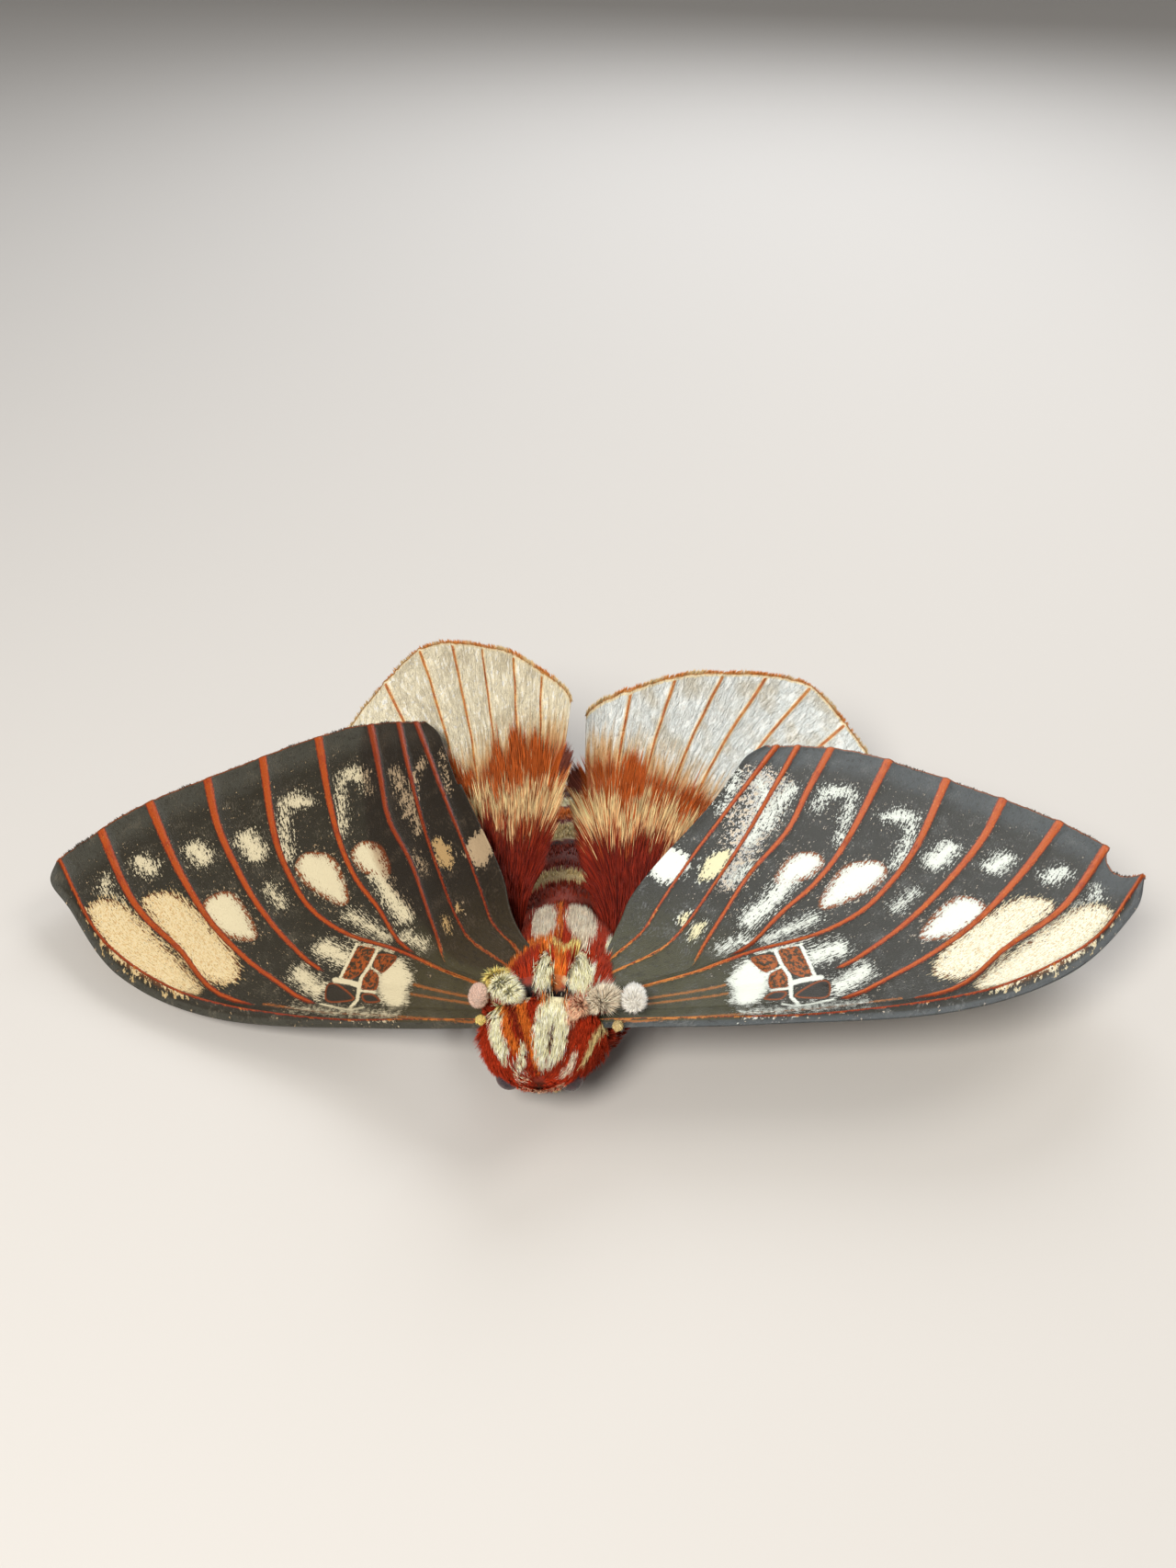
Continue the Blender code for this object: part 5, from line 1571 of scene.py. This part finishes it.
            gather(roots, ups, lies, rng.uniform(0.3, 0.6, PALP_COUNT), 0.09, 18, colours,
                   np.array([0.3 + 0.1 * number, 0.02]))
            for pair_number, (pair, path) in enumerate(LEG_PATHS.items()):
                count = LEG_COUNT
                line = evenly([beside(side, point) for point in path], 64)
                at = rng.beta(1.1, 1.6, count) * 62
                low = at.astype(int)
                centre = line[low] + (line[low + 1] - line[low]) * (at - low)[:, None]
                ahead = unit(line[low + 1] - line[low])
                radius = np.interp(at / 63 * 4, np.arange(5), LEG_RADII) - 0.04
                around_leg = unit(np.cross(ahead, rng.normal(0, 1, (count, 3))))
                roots = centre + around_leg * radius[:, None]
                long = np.interp(at / 63, [0, 0.3, 0.5, 0.65, 1], [0.5, 0.5, 0.7, 0.35, 0.2])
                long = long * rng.uniform(0.7, 1.2, count)
                reddish = np.tile(COAT_COLOURS["red"], (count, 1)) * rng.uniform(0.5, 1.1, (count, 1))
                gather(roots, around_leg, ahead, long, 0.1, 24, varied(reddish, rng),
                       np.array([0.02 + 0.1 * pair_number + 0.35 * number, 0.2]))
        joined = [np.concatenate(values) for values in zip(*parts)]
        hair("coat_limbs", *joined, "coat", rng, spacing=8, pull=0.3)


class MOTH_OT_eyes(bpy.types.Operator):
    """Builds the two faceted eyes"""

    bl_idname = "moth.eyes"
    bl_label = "Eyes"

    def execute(self, context):
        paint = Paint("eye", Coat_Roughness=0.12)
        place = paint.add("ShaderNodeTexCoord", out="Object")
        facets = paint.add("ShaderNodeTexVoronoi", {"feature": "DISTANCE_TO_EDGE"},
                           {"Vector": place, "Scale": 9000.0})
        cloud = paint.noise(place, (1.0, 1.0, 1.0), 1400.0, 2.0)
        colour = paint.mix((0.030, 0.010, 0.020), (0.075, 0.022, 0.030), cloud.over(0.42, 0.62))
        colour = paint.mix((0.006, 0.004, 0.006), colour, facets.over(0.0, 0.10))
        material = paint.finish(Base_Color=colour, Roughness=0.22 + cloud * 0.12,
                                Coat_Weight=0.2 + cloud * 0.2,
                                Normal=paint.bump(facets.over(0.0, 0.16), 0.00002))
        for side in SIDES:
            bm = ball(beside(side, EYE_PLACE), [EYE_RADIUS] * 3, 64, 40)
            piece = solid_piece(f"faceted_eye_{side}", bm, material)
            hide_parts(f"eye_{side}")
        return {"FINISHED"}


class MOTH_OT_feelers(bpy.types.Operator):
    """Builds the two ringed feelers and the claws"""

    bl_idname = "moth.feelers"
    bl_label = "Feelers and claws"

    def execute(self, context):
        paint = Paint("feeler", Roughness=0.55)
        place = paint.add("ShaderNodeTexCoord", out="Object")
        cloud = paint.noise(place, (1.0, 1.0, 1.0), 3500.0, 3.0)
        colour = paint.mix((0.34, 0.12, 0.035), (0.16, 0.045, 0.018), cloud.over(0.4, 0.65))
        material = paint.finish(Base_Color=colour, Normal=paint.bump(cloud, 0.00004))
        horn = Paint("claw", Roughness=0.3)
        dark = horn.add("ShaderNodeTexCoord", out="Object")
        grain = horn.noise(dark, (1.0, 1.0, 1.0), 8000.0, 2.0)
        claw_material = horn.finish(Base_Color=horn.mix((0.05, 0.02, 0.012), (0.12, 0.05, 0.02), grain))
        for side in SIDES:
            bm = bmesh.new()
            path = [beside(side, point) for point in ANTENNA_PATH]

            def rings(share):
                return 1 + 0.13 * np.abs(np.sin(share * np.pi * 42)) - 0.08

            tube(bm, path, [r * 0.85 for r in ANTENNA_RADII], 12, 240, rings)
            bmesh.ops.recalc_face_normals(bm, faces=bm.faces)
            piece = solid_piece(f"feeler_{side}", bm, material)
            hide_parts(f"antenna_{side}")

        bm = bmesh.new()
        for side in SIDES:
            for path in LEG_PATHS.values():
                toe = beside(side, path[-1])
                ahead = unit(toe - beside(side, path[-2]))
                for spread in (-1, 1):
                    out = np.cross(ahead, [0, 0, 1.0]) * spread
                    hook = [toe - ahead * 0.1 + [0, 0, 0.06], toe + ahead * 0.15 + out * 0.14 + [0, 0, 0.08],
                            toe + ahead * 0.3 + out * 0.2 - [0, 0, 0.12]]
                    tube(bm, hook, [0.08, 0.06, 0.015], 8, 8)
        bmesh.ops.recalc_face_normals(bm, faces=bm.faces)
        solid_piece("claws", bm, claw_material)
        return {"FINISHED"}


class MOTH_PT_panel(bpy.types.Panel):
    """Lists the pieces of the moth"""

    bl_label = "Royal Moth"
    bl_idname = "MOTH_PT_panel"
    bl_space_type = "VIEW_3D"
    bl_region_type = "UI"
    bl_category = "Moth"

    def draw(self, context):
        for operator in OPERATORS:
            self.layout.operator(operator.bl_idname)
        for group in ("moth_wings", "moth_coat", "moth_stage"):
            box = self.layout.box()
            settings = getattr(context.scene, group)
            for name in settings.__annotations__:
                box.prop(settings, name)


SHORT_HAIR = strand_shape([(0.5, 0.85)])
LONG_HAIR = strand_shape([(0.35, 0.9), (0.7, 0.62)])
GROUPS = {"moth_wings": WingSizes, "moth_coat": CoatSizes, "moth_stage": StageSizes}
OPERATORS = (MOTH_OT_stage, MOTH_OT_forewings, MOTH_OT_hindwings, MOTH_OT_skin, MOTH_OT_coat, MOTH_OT_eyes,
             MOTH_OT_feelers)


def register():
    for name, group in GROUPS.items():
        bpy.utils.register_class(group)
        setattr(bpy.types.Scene, name, PointerProperty(type=group))
    for item in (*OPERATORS, MOTH_PT_panel):
        bpy.utils.register_class(item)


def unregister():
    for item in (MOTH_PT_panel, *reversed(OPERATORS)):
        bpy.utils.unregister_class(item)
    for name, group in GROUPS.items():
        delattr(bpy.types.Scene, name)
        bpy.utils.unregister_class(group)


def main():
    register()
    bpy.ops.moth.stage()
    bpy.ops.moth.forewings()
    bpy.ops.moth.hindwings()
    bpy.ops.moth.skin()
    bpy.ops.moth.coat()
    bpy.ops.moth.eyes()
    bpy.ops.moth.feelers()


if __name__ == "__main__":
    main()
